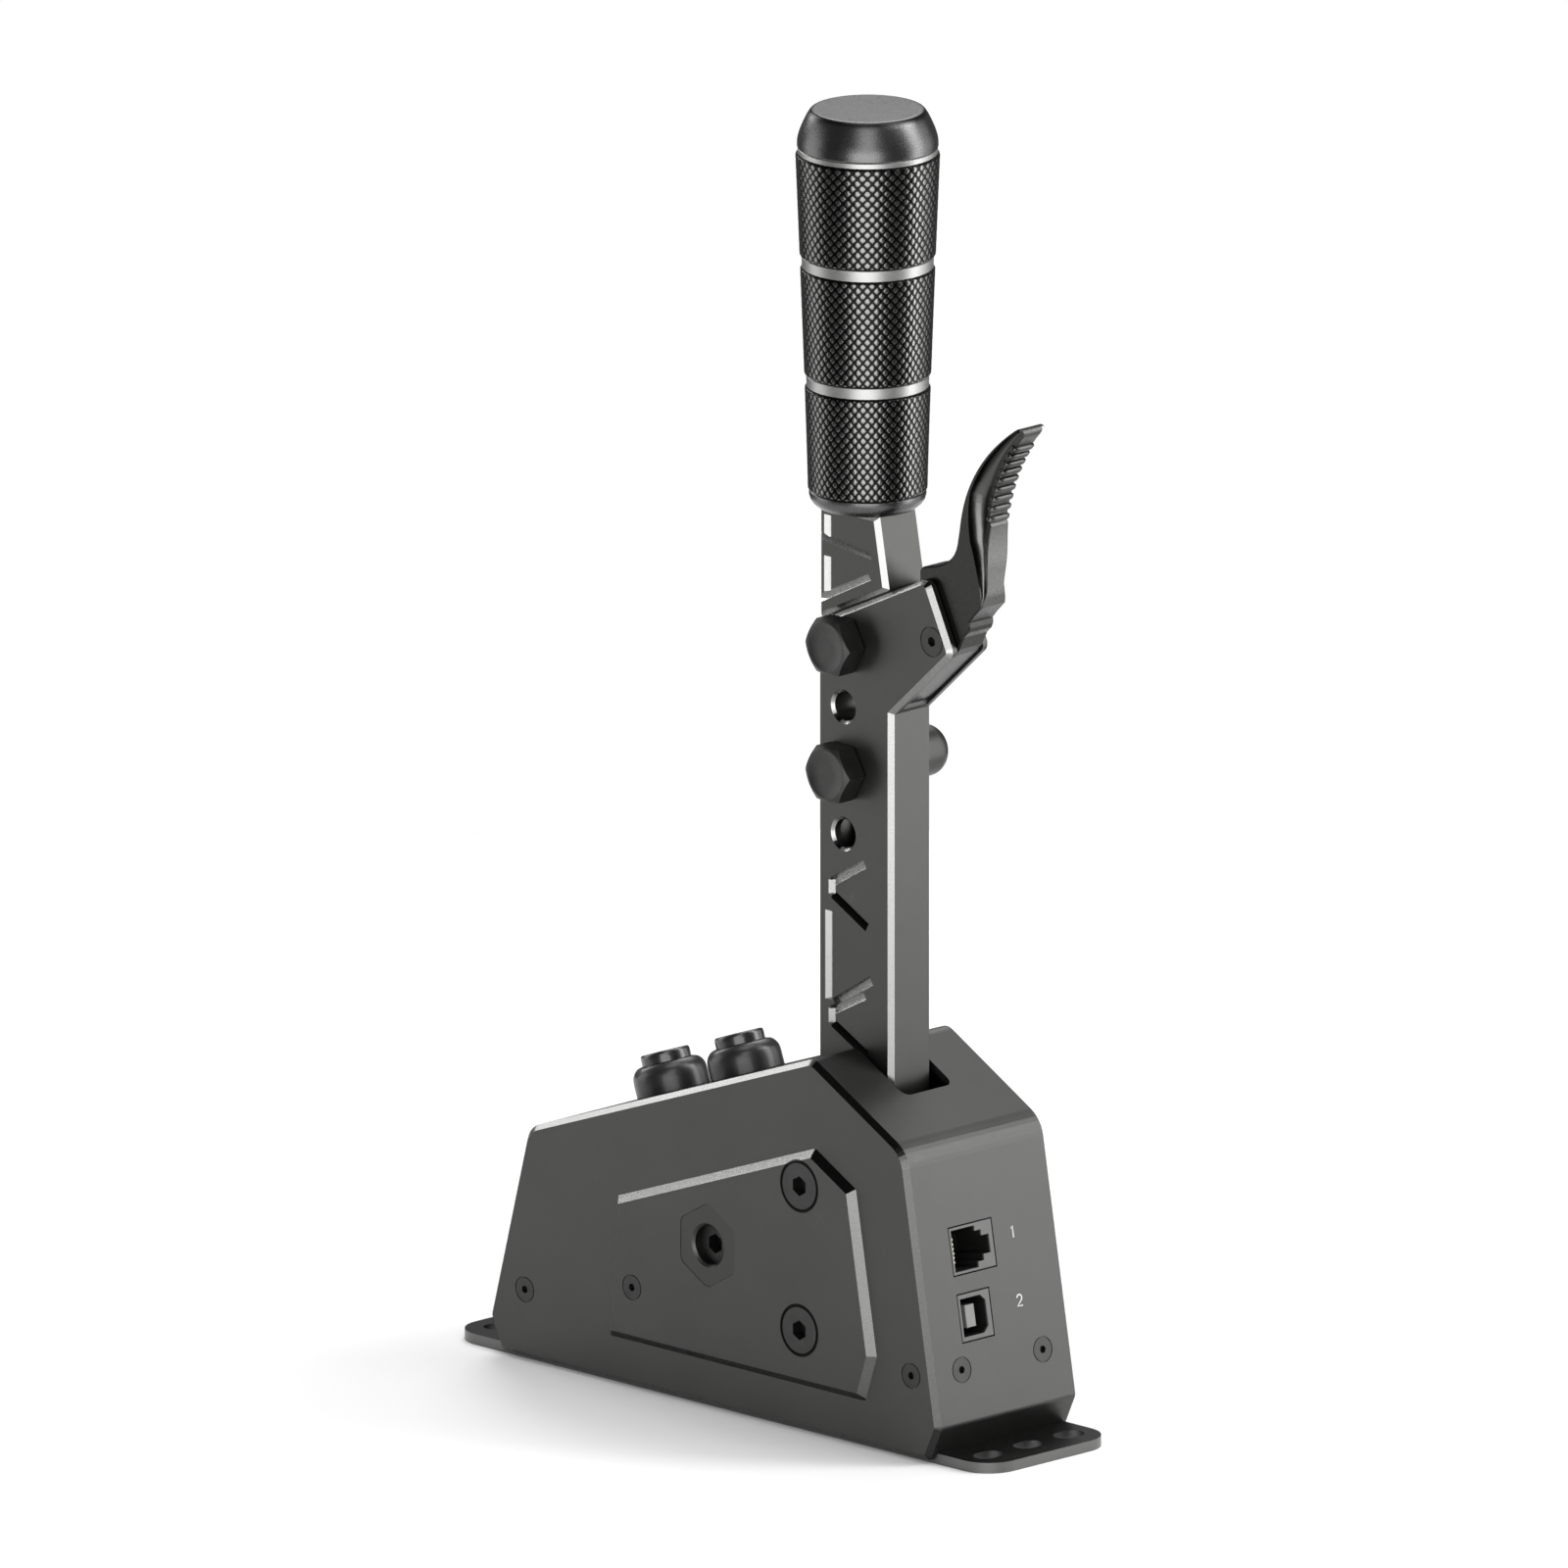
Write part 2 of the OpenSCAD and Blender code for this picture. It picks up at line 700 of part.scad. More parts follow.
module port_board() {
    color([0.1, 0.3, 0.16])
    on_port(port_board_y, (jack_z + usb_z) / 2)
        translate([-18, -board_t, -23]) cube([33, board_t, 19.5]);
}

module port_board_posts() {
    color([0.75, 0.65, 0.35])
    on_port(port_board_y - board_t, (jack_z + usb_z) / 2) for (x = [-14, 11])
        translate([x, 0, -19.5]) rotate([90, 0, 0])
            cylinder(h = side_y + port_board_y - board_t, r = post_r);
}

module jack_body() {
    translate([-jack_h / 2 + port_gap, -jack_w / 2 + port_gap, -jack_d])
        cube([jack_h - 2 * port_gap, jack_w - 2 * port_gap, jack_d]);
}

// Stepped mouth of the jack, its latch side towards +Y
module jack_mouth() {
    for (s = [[11.6, -7.4, 1.6], [8.6, 0.8, 3.9], [5.2, 3, 6.7]])
        translate([-s[0] / 2, s[1], -13]) cube([s[0], s[2] - s[1], 13 + past]);
}

module network_jack() {
    color([0.36, 0.36, 0.36])
    on_port(jack_y, jack_z) difference() {
        jack_body();
        jack_mouth();
    }
}

module jack_contacts() {
    color([0.85, 0.7, 0.35])
    on_port(jack_y, jack_z) for (k = [-2.5 : 2.5])
        translate([k * 1.25 - 0.3, -7.4, -11]) cube([0.6, 1.1, 10]);
}

module usb_socket() {
    color([0.36, 0.36, 0.36])
    on_port(usb_y, usb_z) difference() {
        translate([-usb_h / 2 + port_gap, -usb_w / 2 + port_gap, -usb_d])
            cube([usb_h - 2 * port_gap, usb_w - 2 * port_gap, usb_d]);
        translate([0, 0, -12]) linear_extrude(12 + past)
            polygon([[-5.3, -5.2], [5.3, -5.2], [5.3, 2.6], [3.6, 4.4], [-3.6, 4.4], [-5.3, 2.6]]);
    }
}

module usb_tongue() {
    color([0.75, 0.75, 0.75])
    on_port(usb_y, usb_z) translate([-3.1, -2.4, -12]) cube([6.2, 3.4, 10.6]);
}

// Board that reads the magnet in the lever's foot
sensor_z = 51;
sensor_gap = 2.5;
magnet_r = 3;

module sensor_board() {
    color([0.1, 0.3, 0.16])
    translate([pivot_x - 9, arm_t / 2 + sensor_gap, sensor_z - 7]) cube([18, board_t, 14]);
}

module sensor_posts() {
    color([0.75, 0.65, 0.35])
    for (s = [-1, 1]) on_side(pivot_x + s * 6, side_y, sensor_z)
        cylinder(h = side_y - arm_t / 2 - sensor_gap - board_t, r = post_r);
}

module sensor_magnet() {
    color([0.8, 0.8, 0.82])
    on_side(pivot_x, arm_t / 2, sensor_z) cylinder(h = 2, r = magnet_r);
}

// Button housing: rounded collar on the deck and a threaded barrel through it
module button_collar() {
    round_r = 3.4;
    arc = [for (k = [0 : 8]) [collar_r - round_r + round_r * cos(90 - k * 11.25) - 0.4,
        collar_h - round_r + round_r * sin(90 - k * 11.25)]];
    bore_r = cap_r + slide_gap;
    difference() {
        union() {
            rotate_extrude() polygon(concat([[0, 0], [0, collar_h]], arc,
                [[collar_r, collar_h - round_r - 0.6], [collar_r, 0]]));
            translate([0, 0, -barrel_drop]) cylinder(h = barrel_drop, r = barrel_r);
        }
        translate([0, 0, -cap_drop - button_travel - air])
            cylinder(h = cap_drop + button_travel + air + collar_h + past, r = bore_r);
    }
}

module button_collar_1() {
    color([0.06, 0.06, 0.06]) on_deck(button_1_x) button_collar();
}

module button_collar_2() {
    color([0.06, 0.06, 0.06]) on_deck(button_2_x) button_collar();
}

module button_nuts() {
    color([0.65, 0.65, 0.67])
    for (x = [button_1_x, button_2_x]) on_deck(x) translate([0, 0, -cover_t - button_nut_t])
        difference() {
            cylinder(h = button_nut_t, r = collar_r + 0.8, $fn = 6);
            translate([0, 0, -past]) cylinder(h = button_nut_t + 2 * past, r = barrel_r + seat_gap);
        }
}

module button_cap() {
    top = collar_h + cap_over;
    rotate_extrude() polygon([[0, -cap_drop], [cap_r, -cap_drop], [cap_r, top - 0.9],
        [cap_r - 0.25, top - 0.35], [cap_r - 0.9, top], [cap_r - 1.8, top], [0, top - 0.5]]);
}

module button_cap_1() {
    color([0.04, 0.04, 0.04]) on_deck(button_1_x) button_cap();
}

module button_cap_2() {
    color([0.04, 0.04, 0.04]) on_deck(button_2_x) button_cap();
}

// V-groove cut in the near face from p to q, both given as X and Z
module groove(p, q, depth = groove_depth) {
    l = norm(q - p);
    translate([p[0], -arm_t / 2, p[1]]) rotate([0, -atan2(q[1] - p[1], q[0] - p[0]), 0])
        translate([l / 2, 0, 0]) rotate([45, 0, 0])
            cube([l, depth * sqrt(2), depth * sqrt(2)], center = true);
}

// Chevron of three grooves with its point at the left
module chevron(z, rise, fall) {
    groove([arm_x0 + 18.6, z + rise], [arm_x0 + 6, z]);
    groove([arm_x0 + 6, z + 0.4], [arm_x0 + 6, z - 3.6]);
    groove([arm_x0 + 6.2, z - 3.4], [arm_x0 + 19.6, z - fall]);
}

module clamp_holes(first, last, r) {
    for (k = [first : last]) on_side(clamp_x, arm_t / 2 + past, bolt_z - k * bolt_pitch)
        cylinder(h = arm_t + 2 * past, r = r);
}

// Bar stock of the lever's thickness with both rims chamfered
module arm_plate(pts) {
    upright(arm_t / 2) bevel_plate(pts, arm_t, low = arm_chamfer, high = arm_chamfer);
}

// Lower arm: foot, shank and the forked head, milled from one bar
module lower_arm() {
    color([0.3, 0.3, 0.29])
    difference() {
        union() {
            arm_plate(shank_points);
            arm_plate(head_points);
        }
        translate([pocket_x0, -pocket_w / 2, pocket_floor])
            cube([pocket_x1 - pocket_x0, pocket_w, head_tip[1] - pocket_floor]);
        translate([pocket_x1 - past, -pocket_w / 2, fork_floor])
            cube([head_heel[0], pocket_w, head_tip[1]]);
        clamp_holes(0, 3, bolt_r + seat_gap);
        for (k = [0 : 3]) both_sides() on_side(clamp_x, -arm_t / 2, bolt_z - k * bolt_pitch)
            translate([0, 0, bolt_r - hole_csk_r])
                cylinder(h = hole_csk_r - bolt_r + 0.01, r1 = bolt_r, r2 = hole_csk_r + 0.01);
        on_side(pivot_x, arm_t / 2 + past, pivot_z) cylinder(h = arm_t + 2 * past, r = bush_r + seat_gap);
        stop_window();
        on_side(pivot_x, arm_t / 2 + past, sensor_z)
            cylinder(h = 2 + past + seat_gap, r = magnet_r + seat_gap);
        finger_pin_holes();
        groove([arm_x0 + 4.7, 142.6], [arm_x0 + 4.7, 117.4]);
        groove([arm_x0 + 7, 116.9], [arm_x0 + 21.2, 125.8]);
        chevron(151, 7.4, 10.5);
        chevron(114.6, 6.6, 10.3);
        at_rocker_screws() small_hole();
    }
}

// Window round the stop pin, wide enough for the throw
module stop_window() {
    half = stop_sleeve_r + (stop_z - pivot_z) * sin(throw_deg) + air;
    r = stop_sleeve_r + 0.6;
    for (s = [-1, 1]) on_side(pivot_x + s * (half - r), arm_t / 2 + past, stop_z)
        cylinder(h = arm_t + 2 * past, r = r);
    translate([pivot_x - half + r, -arm_t / 2 - past, stop_z - r])
        cube([2 * (half - r), arm_t + 2 * past, 2 * r]);
}

module finger_pin_holes() {
    on_side(finger_x, -arm_t / 2, finger_z) screw_hole(finger_head_r, finger_pin_r, arm_t - 1.2);
}

// Flanged plain bushes pressed into the foot
module arm_bushes() {
    color([0.7, 0.55, 0.3])
    both_sides() on_side(pivot_x, -arm_t / 2 + 6, pivot_z) difference() {
        union() {
            cylinder(h = 6, r = bush_r);
            translate([0, 0, 6]) cylinder(h = bush_flange_t, r = bush_flange_r);
        }
        translate([0, 0, -past]) cylinder(h = 10, r = shaft_r + run_gap);
    }
}

// Plate under the foot that presses on the two springs
module rocker_plate() {
    color([0.5, 0.5, 0.52])
    difference() {
        translate([pivot_x - rocker_half, -rocker_w / 2, foot_z - rocker_t])
            cube([2 * rocker_half, rocker_w, rocker_t]);
        at_rocker_screws() small_hole();
    }
}

module at_rocker_screws() {
    for (s = [-1, 1]) translate([pivot_x + s * rocker_screw_x, 0, foot_z - rocker_t])
        rotate([180, 0, 0]) children();
}

module rocker_screws() {
    color([0.1, 0.1, 0.1]) at_rocker_screws() small_screw();
}

// Upper bar: blade under the knob, tongue into the arm, spigot into the knob
module upper_bar() {
    color([0.3, 0.3, 0.29])
    difference() {
        union() {
            arm_plate(bar_points);
            translate([pocket_x0 + tongue_fit, -pocket_w / 2 + slide_gap, tongue_low])
                cube([pocket_x1 - pocket_x0 - 2 * tongue_fit, pocket_w - 2 * slide_gap,
                    bar_front_low[1] + 2 - tongue_low]);
            translate([knob_x, 0, bar_front_low[1]])
                cylinder(h = spigot_top - bar_front_low[1], r = spigot_r);
        }
        clamp_holes(0, 2, bolt_r + seat_gap);
        translate([knob_x, 0, spigot_top - 20]) cylinder(h = 20 + past, r = knob_screw_r + seat_gap);
        groove([bar_x0 + 3.8, 254.5], [bar_x0 + 3.8, 248]);
        groove([bar_x0, 248.3], [bar_x0 + 20.8, 245.9], 1.1);
        groove([bar_x0 + 3.8, 242.8], [bar_x0 + 3.8, 232.6]);
        groove([bar_x0, 230], [bar_x0 + 20, 240], 1.1);
    }
}

module clamp_bolts() {
    color([0.22, 0.22, 0.21])
    for (k = [0, 2]) on_side(clamp_x, -arm_t / 2, bolt_z - k * bolt_pitch) {
        intersection() {
            cylinder(h = bolt_head_h, r = bolt_head_r, $fn = 6);
            union() {
                cylinder(h = bolt_head_h - 1, r = bolt_head_r + 1);
                translate([0, 0, bolt_head_h - 1]) cylinder(h = 1, r1 = bolt_head_r, r2 = bolt_head_r - 1.3);
            }
        }
        translate([0, 0, -arm_t - 12]) cylinder(h = arm_t + 12.5, r = bolt_r);
    }
}

// Long nuts with round ends on the far side
module dome_nuts() {
    color([0.25, 0.25, 0.25])
    for (k = [0, 2]) on_side(clamp_x, arm_t / 2, bolt_z - k * bolt_pitch)
        rotate([180, 0, 0]) difference() {
            rotate_extrude() polygon(concat([[0, 0], [dome_r - 0.5, 0], [dome_r, 0.5]],
                [for (a = [0 : 9 : 81]) [dome_r * cos(a), dome_l - dome_r * 0.8 + dome_r * 0.8 * sin(a)]],
                [[0, dome_l]]));
            translate([0, 0, -past]) cylinder(h = 12.2 + past, r = bolt_r + seat_gap);
        }
}

// Screw that the finger lever turns on
module lever_pin() {
    color([0.12, 0.12, 0.12])
    on_side(finger_x, -arm_t / 2, finger_z) screw(finger_head_r, finger_pin_r, 1.5, arm_t - 1.2);
}

// Stop that the finger lever's toe rests against, with its holding magnet
module lever_stop() {
    color([0.1, 0.1, 0.1])
    difference() {
        translate([pocket_x1 + 0.2, -pocket_w / 2, fork_floor])
            cube([toe_x - air - pocket_x1 - 0.2, pocket_w, 12]);
        translate([pocket_x1 + 1.2, 0, toe_z + 3]) rotate([0, 90, 0])
            cylinder(h = 10, r = magnet_r - 0.5 + seat_gap);
    }
}

module stop_magnet() {
    color([0.8, 0.8, 0.82])
    translate([pocket_x1 + 1.2 + seat_gap, 0, toe_z + 3]) rotate([0, 90, 0])
        cylinder(h = toe_x - air - pocket_x1 - 1.3, r = magnet_r - 0.5);
}

module lever_magnet() {
    color([0.8, 0.8, 0.82])
    translate([toe_x + 0.05, 0, toe_z + 3]) rotate([0, 90, 0]) cylinder(h = 2.4, r = magnet_r - 0.5);
}

// Switch that the finger lever presses, with its plunger
switch_d = 7.4;
switch_l = 14;
plunger_w = 2;

module micro_switch() {
    color([0.1, 0.1, 0.1])
    translate([pocket_x1 + air, -pocket_w / 2, finger_z - 4]) cube([switch_d, pocket_w, switch_l]);
    color([0.7, 0.2, 0.15])
    translate([pocket_x1 + switch_d - 0.4, -plunger_w, finger_z + 5.5]) cube([2, 2 * plunger_w, plunger_w]);
}

// Finger lever in front of the knob, with a row of ribs for the finger
function on_curve(c, t) = pow(1 - t, 2) * c[0] + 2 * t * (1 - t) * c[1] + t * t * c[2];

module finger_lever() {
    color([0.09, 0.09, 0.09])
    difference() {
        union() {
            upright(finger_w / 2) bevel_plate(finger_points, finger_w, low = finger_edge, high = finger_edge);
            for (k = [0 : rib_count - 1]) let (p = on_curve(finger_front, 0.26 + 0.063 * k))
                on_side(p[0] - 0.25, finger_w / 2 - finger_edge, p[1] + finger_shift)
                    cylinder(h = finger_w - 2 * finger_edge, r = rib_r, $fn = 24);
        }
        on_side(finger_x, finger_w, finger_z) cylinder(h = 2 * finger_w, r = finger_pin_r + seat_gap);
        translate([toe_x - past, 0, toe_z + 3]) rotate([0, 90, 0])
            cylinder(h = 2.5 + past, r = magnet_r - 0.5 + seat_gap);
    }
}

module on_knob(z = 0) {
    translate([knob_x, 0, z]) children();
}

// Metal core of the knob, seen as the bright bands between the grips
module knob_core() {
    color([0.82, 0.82, 0.84])
    on_knob() difference() {
        union() {
            translate([0, 0, knob_z]) cylinder(h = grip_h, r = core_r);
            for (z = [band_1, band_2]) translate([0, 0, z])
                cylinder(h = band_h, r1 = grip_r(z) - band_depth, r2 = grip_r(z + band_h) - band_depth);
            translate([0, 0, grip_top]) cylinder(h = ring_h, r = grip_top_r - 0.6);
        }
        translate([0, 0, knob_z - past]) cylinder(h = spigot_top - knob_z + past, r = spigot_r + seat_gap);
        translate([0, 0, spigot_top - past]) cylinder(h = 40, r = knob_screw_r + seat_gap);
    }
}

// Grip sleeve between two heights, its rims cut back a little
module sleeve(z0, z1) {
    rim = 0.35;
    steps = 4;
    on_knob() rotate_extrude() polygon(concat(
        [[core_r + seat_gap, z0], [grip_r(z0) - rim, z0]],
        [for (k = [0 : steps]) let (z = z0 + rim + (z1 - z0 - 2 * rim) * k / steps) [grip_r(z), z]],
        [[grip_r(z1) - rim, z1], [core_r + seat_gap, z1]]));
}

module grip_upper() {
    color([0.07, 0.07, 0.07]) sleeve(band_1 + band_h, grip_top);
}

module grip_middle() {
    color([0.07, 0.07, 0.07]) sleeve(band_2 + band_h, band_1);
}

// Lowest sleeve, with the smooth rim that closes the knob below
module grip_lower() {
    z = knob_z + grip_taper_h;
    color([0.07, 0.07, 0.07]) on_knob() rotate_extrude() polygon([
        [core_r + seat_gap, knob_z], [core_r + 0.5, knob_z], [grip_low_r - 1, knob_z + 1.6],
        [grip_low_r - 0.2, z - 1], [grip_low_r - 0.2, z - 0.3], [grip_low_r, z],
        [grip_r(band_2), band_2 - 0.35], [grip_r(band_2) - 0.35, band_2], [core_r + seat_gap, band_2]]);
}

// Turned cap on top of the knob
module knob_cap() {
    z = grip_top + ring_h;
    h = knob_cap_h - ring_h;
    color([0.1, 0.1, 0.1]) on_knob() rotate_extrude() polygon([
        [0, z], [grip_top_r - 0.8, z], [grip_top_r - 0.45, z + 0.4], [grip_top_r - 0.55, z + h * 0.21],
        [grip_top_r - 1.35, z + h * 0.43], [grip_top_r - 1.85, z + h * 0.53],
        [grip_top_r - 2.65, z + h * 0.74], [grip_top_r - 3.25, z + h * 0.85],
        [grip_top_r - 4.05, z + h * 0.96], [grip_top_r - 4.35, z + h * 0.96 + 0.3], [0, z + h]]);
}

module knob_screw() {
    color([0.4, 0.4, 0.42])
    on_knob(grip_top + ring_h - knob_screw_l) cylinder(h = knob_screw_l, r = knob_screw_r);
}

base_plate();
side_plate_near();
side_plate_far();
wrap_cover();
front_block();
rear_block();
middle_tie();
cross_tie();
hex_nuts();
base_screws();
flank_screws();
port_screws();
pivot_shaft();
pivot_spacers();
pivot_screws();
stop_pin();
stop_sleeve();
stop_screws();
return_springs();
main_board();
board_posts();
port_board();
port_board_posts();
network_jack();
jack_contacts();
usb_socket();
usb_tongue();
sensor_board();
sensor_posts();
button_collar_1();
button_collar_2();
button_nuts();
button_cap_1();
button_cap_2();
lower_arm();
arm_bushes();
rocker_plate();
rocker_screws();
sensor_magnet();
upper_bar();
clamp_bolts();
dome_nuts();
lever_pin();
lever_stop();
stop_magnet();
micro_switch();
knob_core();
grip_upper();
grip_middle();
grip_lower();
knob_cap();
knob_screw();
finger_lever();
lever_magnet();
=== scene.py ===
from math import cos, pi, radians, sin

import bmesh
import bpy
import numpy as np
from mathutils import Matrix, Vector


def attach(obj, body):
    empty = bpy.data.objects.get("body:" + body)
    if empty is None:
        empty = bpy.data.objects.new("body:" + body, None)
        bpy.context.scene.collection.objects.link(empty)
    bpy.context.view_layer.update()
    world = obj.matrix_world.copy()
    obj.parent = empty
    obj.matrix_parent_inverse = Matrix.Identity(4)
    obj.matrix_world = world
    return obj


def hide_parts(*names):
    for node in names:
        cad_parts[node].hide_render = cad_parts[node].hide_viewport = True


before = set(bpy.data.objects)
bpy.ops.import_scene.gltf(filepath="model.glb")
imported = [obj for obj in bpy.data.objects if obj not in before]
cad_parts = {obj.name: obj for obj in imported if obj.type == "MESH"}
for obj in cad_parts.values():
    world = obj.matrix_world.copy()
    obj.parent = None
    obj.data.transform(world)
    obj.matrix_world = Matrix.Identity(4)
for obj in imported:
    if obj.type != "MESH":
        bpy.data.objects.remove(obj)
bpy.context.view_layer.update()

# Camera and studio: a camera with parallel rays, so that upright edges stay upright, a pale floor
# and tall soft boxes. The boxes stand in front and to both sides, with darker air between them,
# which gives round metal its long light and dark stripes.
AIM = Vector((0.0002, 0.0002, 0.172))
TURN, RISE, CAMERA_AWAY, PICTURE_WIDTH = 45.2, 14.87, 3, 0.429
BOX_AWAY = 2.1


def seen_from(turn, rise):
    """Direction from the part towards a place round it: turn 0 is towards -Y and 90 towards +X."""
    a, e = radians(turn), radians(rise)
    return Vector((sin(a) * cos(e), -cos(a) * cos(e), sin(e)))


def hang(name, data, turn, rise, distance):
    """Puts a camera or a light at that distance and turns it to the part."""
    thing = bpy.data.objects.new(name, data)
    bpy.context.scene.collection.objects.link(thing)
    away = seen_from(turn, rise)
    thing.location = AIM + away * distance
    thing.rotation_mode = "QUATERNION"
    thing.rotation_quaternion = (-away).to_track_quat("-Z", "Y")
    return thing


view = bpy.data.cameras.new("camera")
view.type = "ORTHO"
view.ortho_scale = PICTURE_WIDTH
view.clip_end = 20
bpy.context.scene.camera = hang("camera", view, TURN, RISE, CAMERA_AWAY)


def soft_box(name, turn, rise, width, height, power):
    """A rectangular area light of that many watts that faces the part."""
    light = bpy.data.lights.new(name, "AREA")
    light.shape = "RECTANGLE"
    light.size, light.size_y, light.energy = width, height, power
    return hang(name, light, turn, rise, BOX_AWAY)


soft_box("left_box", -58, 0, 1.4, 1.8, 15.5)
soft_box("high_left_box", -92, 24, 0.7, 0.8, 8)
soft_box("front_box", 42, -2, 1.8, 1.8, 41)
soft_box("right_box", 134, 5, 0.8, 2.4, 35)
soft_box("far_right_box", 160, -2, 0.7, 1.8, 6)
soft_box("high_front_box", 45, 38, 0.9, 1.1, 8.3)
soft_box("high_back_box", 225, 38, 0.9, 1.1, 5.9)
soft_box("high_right_box", 134, 38, 0.7, 0.5, 8)
soft_box("top_right_box", 125, 56, 1.0, 1.0, 12)
soft_box("top_box", 0, 88, 1.2, 1.2, 12)
soft_box("top_back_box", 212, 50, 1.2, 1.2, 13)

room = bpy.data.worlds.new("room")
room.use_nodes = True
nodes, links = room.node_tree.nodes, room.node_tree.links
air, paper_white = nodes["Background"], nodes.new("ShaderNodeBackground")
choice = nodes.new("ShaderNodeMixShader")
air.inputs["Color"].default_value = paper_white.inputs["Color"].default_value = (1, 1, 1, 1)
air.inputs["Strength"].default_value = 0.12
links.new(nodes.new("ShaderNodeLightPath").outputs["Is Camera Ray"], choice.inputs[0])
links.new(air.outputs[0], choice.inputs[1])
links.new(paper_white.outputs[0], choice.inputs[2])
links.new(choice.outputs[0], nodes["World Output"].inputs["Surface"])
bpy.context.scene.world = room
bpy.context.scene.view_settings.view_transform = "Standard"


class Wire:
    """An output of a shader node. Sums on it add Math nodes, with wires or numbers on either side."""

    def __init__(self, paint, socket):
        self.paint, self.socket = paint, socket

    def sum(self, operation, *terms):
        return self.paint.add("Math", {"operation": operation}, *terms)

    def __add__(self, other): return self.sum("ADD", self, other)
    def __radd__(self, other): return self.sum("ADD", other, self)
    def __sub__(self, other): return self.sum("SUBTRACT", self, other)
    def __rsub__(self, other): return self.sum("SUBTRACT", other, self)
    def __mul__(self, other): return self.sum("MULTIPLY", self, other)
    def __rmul__(self, other): return self.sum("MULTIPLY", other, self)
    def __truediv__(self, other): return self.sum("DIVIDE", self, other)
    def __rtruediv__(self, other): return self.sum("DIVIDE", other, self)
    def __pow__(self, other): return self.sum("POWER", self, other)
    def __abs__(self): return self.sum("ABSOLUTE", self)

    def ramp(self, low, high, start=0.0, end=1.0):
        """Follows the wire from start to end while it goes from low to high, and stays there outside."""
        return self.paint.add("MapRange", {"interpolation_type": "SMOOTHSTEP"}, self, low, high, start, end)


class Paint:
    """A material on one Principled shader; its steady values go straight on to the shader's sockets."""

    def __init__(self, name, **steady):
        self.material = bpy.data.materials.new(name)
        self.material.use_nodes = True
        self.tree = self.material.node_tree
        self.shader = self.tree.nodes["Principled BSDF"]
        for socket, value in steady.items():
            self.shader.inputs[socket.replace("_", " ")].default_value = value

    def put(self, socket, value):
        """Sets a socket to a number or a colour, or links a wire to it."""
        if isinstance(value, Wire):
            self.tree.links.new(value.socket, socket)
        elif isinstance(value, tuple) and socket.type == "RGBA":
            socket.default_value = (*value, 1)[:4]
        else:
            socket.default_value = value

    def add(self, kind, settings, *inputs, out=0, **named):
        """Adds any node: its kind, its settings, and what its sockets get, in order or by name."""
        node = self.tree.nodes.new("ShaderNode" + kind)
        for setting, value in settings.items():
            setattr(node, setting, value)
        for socket, value in zip([s for s in node.inputs if s.enabled], inputs):
            self.put(socket, value)
        for socket, value in named.items():
            self.put(node.inputs[socket.replace("_", " ")], value)
        found = [s for s in node.outputs if s.enabled][out] if isinstance(out, int) else node.outputs[out]
        return Wire(self, found)

    def place(self, x=1.0, y=1.0, z=1.0):
        """Object coordinates in metres, stretched along the axes."""
        spot = self.add("TexCoord", {}, out="Object")
        return spot if x == y == z == 1 else self.add("Mapping", {}, spot, Scale=(x, y, z))

    def noise(self, size, detail=2.0, rough=0.5, at=None):
        """Cloudy noise from 0 to 1 whose lumps are about that many metres wide."""
        return self.add("TexNoise", {}, at or self.place(), Scale=1 / size, Detail=detail, Roughness=rough)

    def blend(self, share, first, second, how="MIX"):
        """Mixes two colours by a share from 0 to 1."""
        return self.add("Mix", {"data_type": "RGBA", "blend_type": how}, share, first, second)

    def bump(self, height, depth, under=None):
        """Tilts the surface as if height were that deep in metres."""
        socket = {"Normal": under} if under else {}
        return self.add("Bump", {}, Strength=1.0, Distance=depth, Height=height, **socket)

    def on(self, **varying):
        """Links what changes over the surface to the shader's sockets."""
        for socket, value in varying.items():
            self.put(self.shader.inputs[socket.replace("_", " ")], value)
        return self.material


def floor_paint():
    """Matt pale studio paper with the faintest cloudiness."""
    paint = Paint("studio_paper", Roughness=0.9)
    cloud = paint.noise(0.6)
    return paint.on(Base_Color=paint.blend(cloud, (0.93, 0.93, 0.93), (0.95, 0.95, 0.95)))


FLOOR_RADIUS = 0.6
turn = np.linspace(0, 2 * pi, 97)[:-1]
rim = np.stack([FLOOR_RADIUS * np.cos(turn), FLOOR_RADIUS * np.sin(turn), 0 * turn], -1)
paper = bpy.data.meshes.new("floor")
paper.from_pydata(rim.tolist(), [], [list(range(len(rim)))])
paper.materials.append(floor_paint())
floor = bpy.data.objects.new("floor", paper)
bpy.context.scene.collection.objects.link(floor)


# Base plate: 3 mm aluminium plate, cut to shape, its edges eased, blasted and anodised near black.
# Three slots at the port end and three holes at the driver's end take the rig's screws.
# The near black below is the colour of painted shade on chamfers and round the two large screws.
SHADE_BLACK, FLANK_FACE = (0.008, 0.008, 0.008), 0.0272


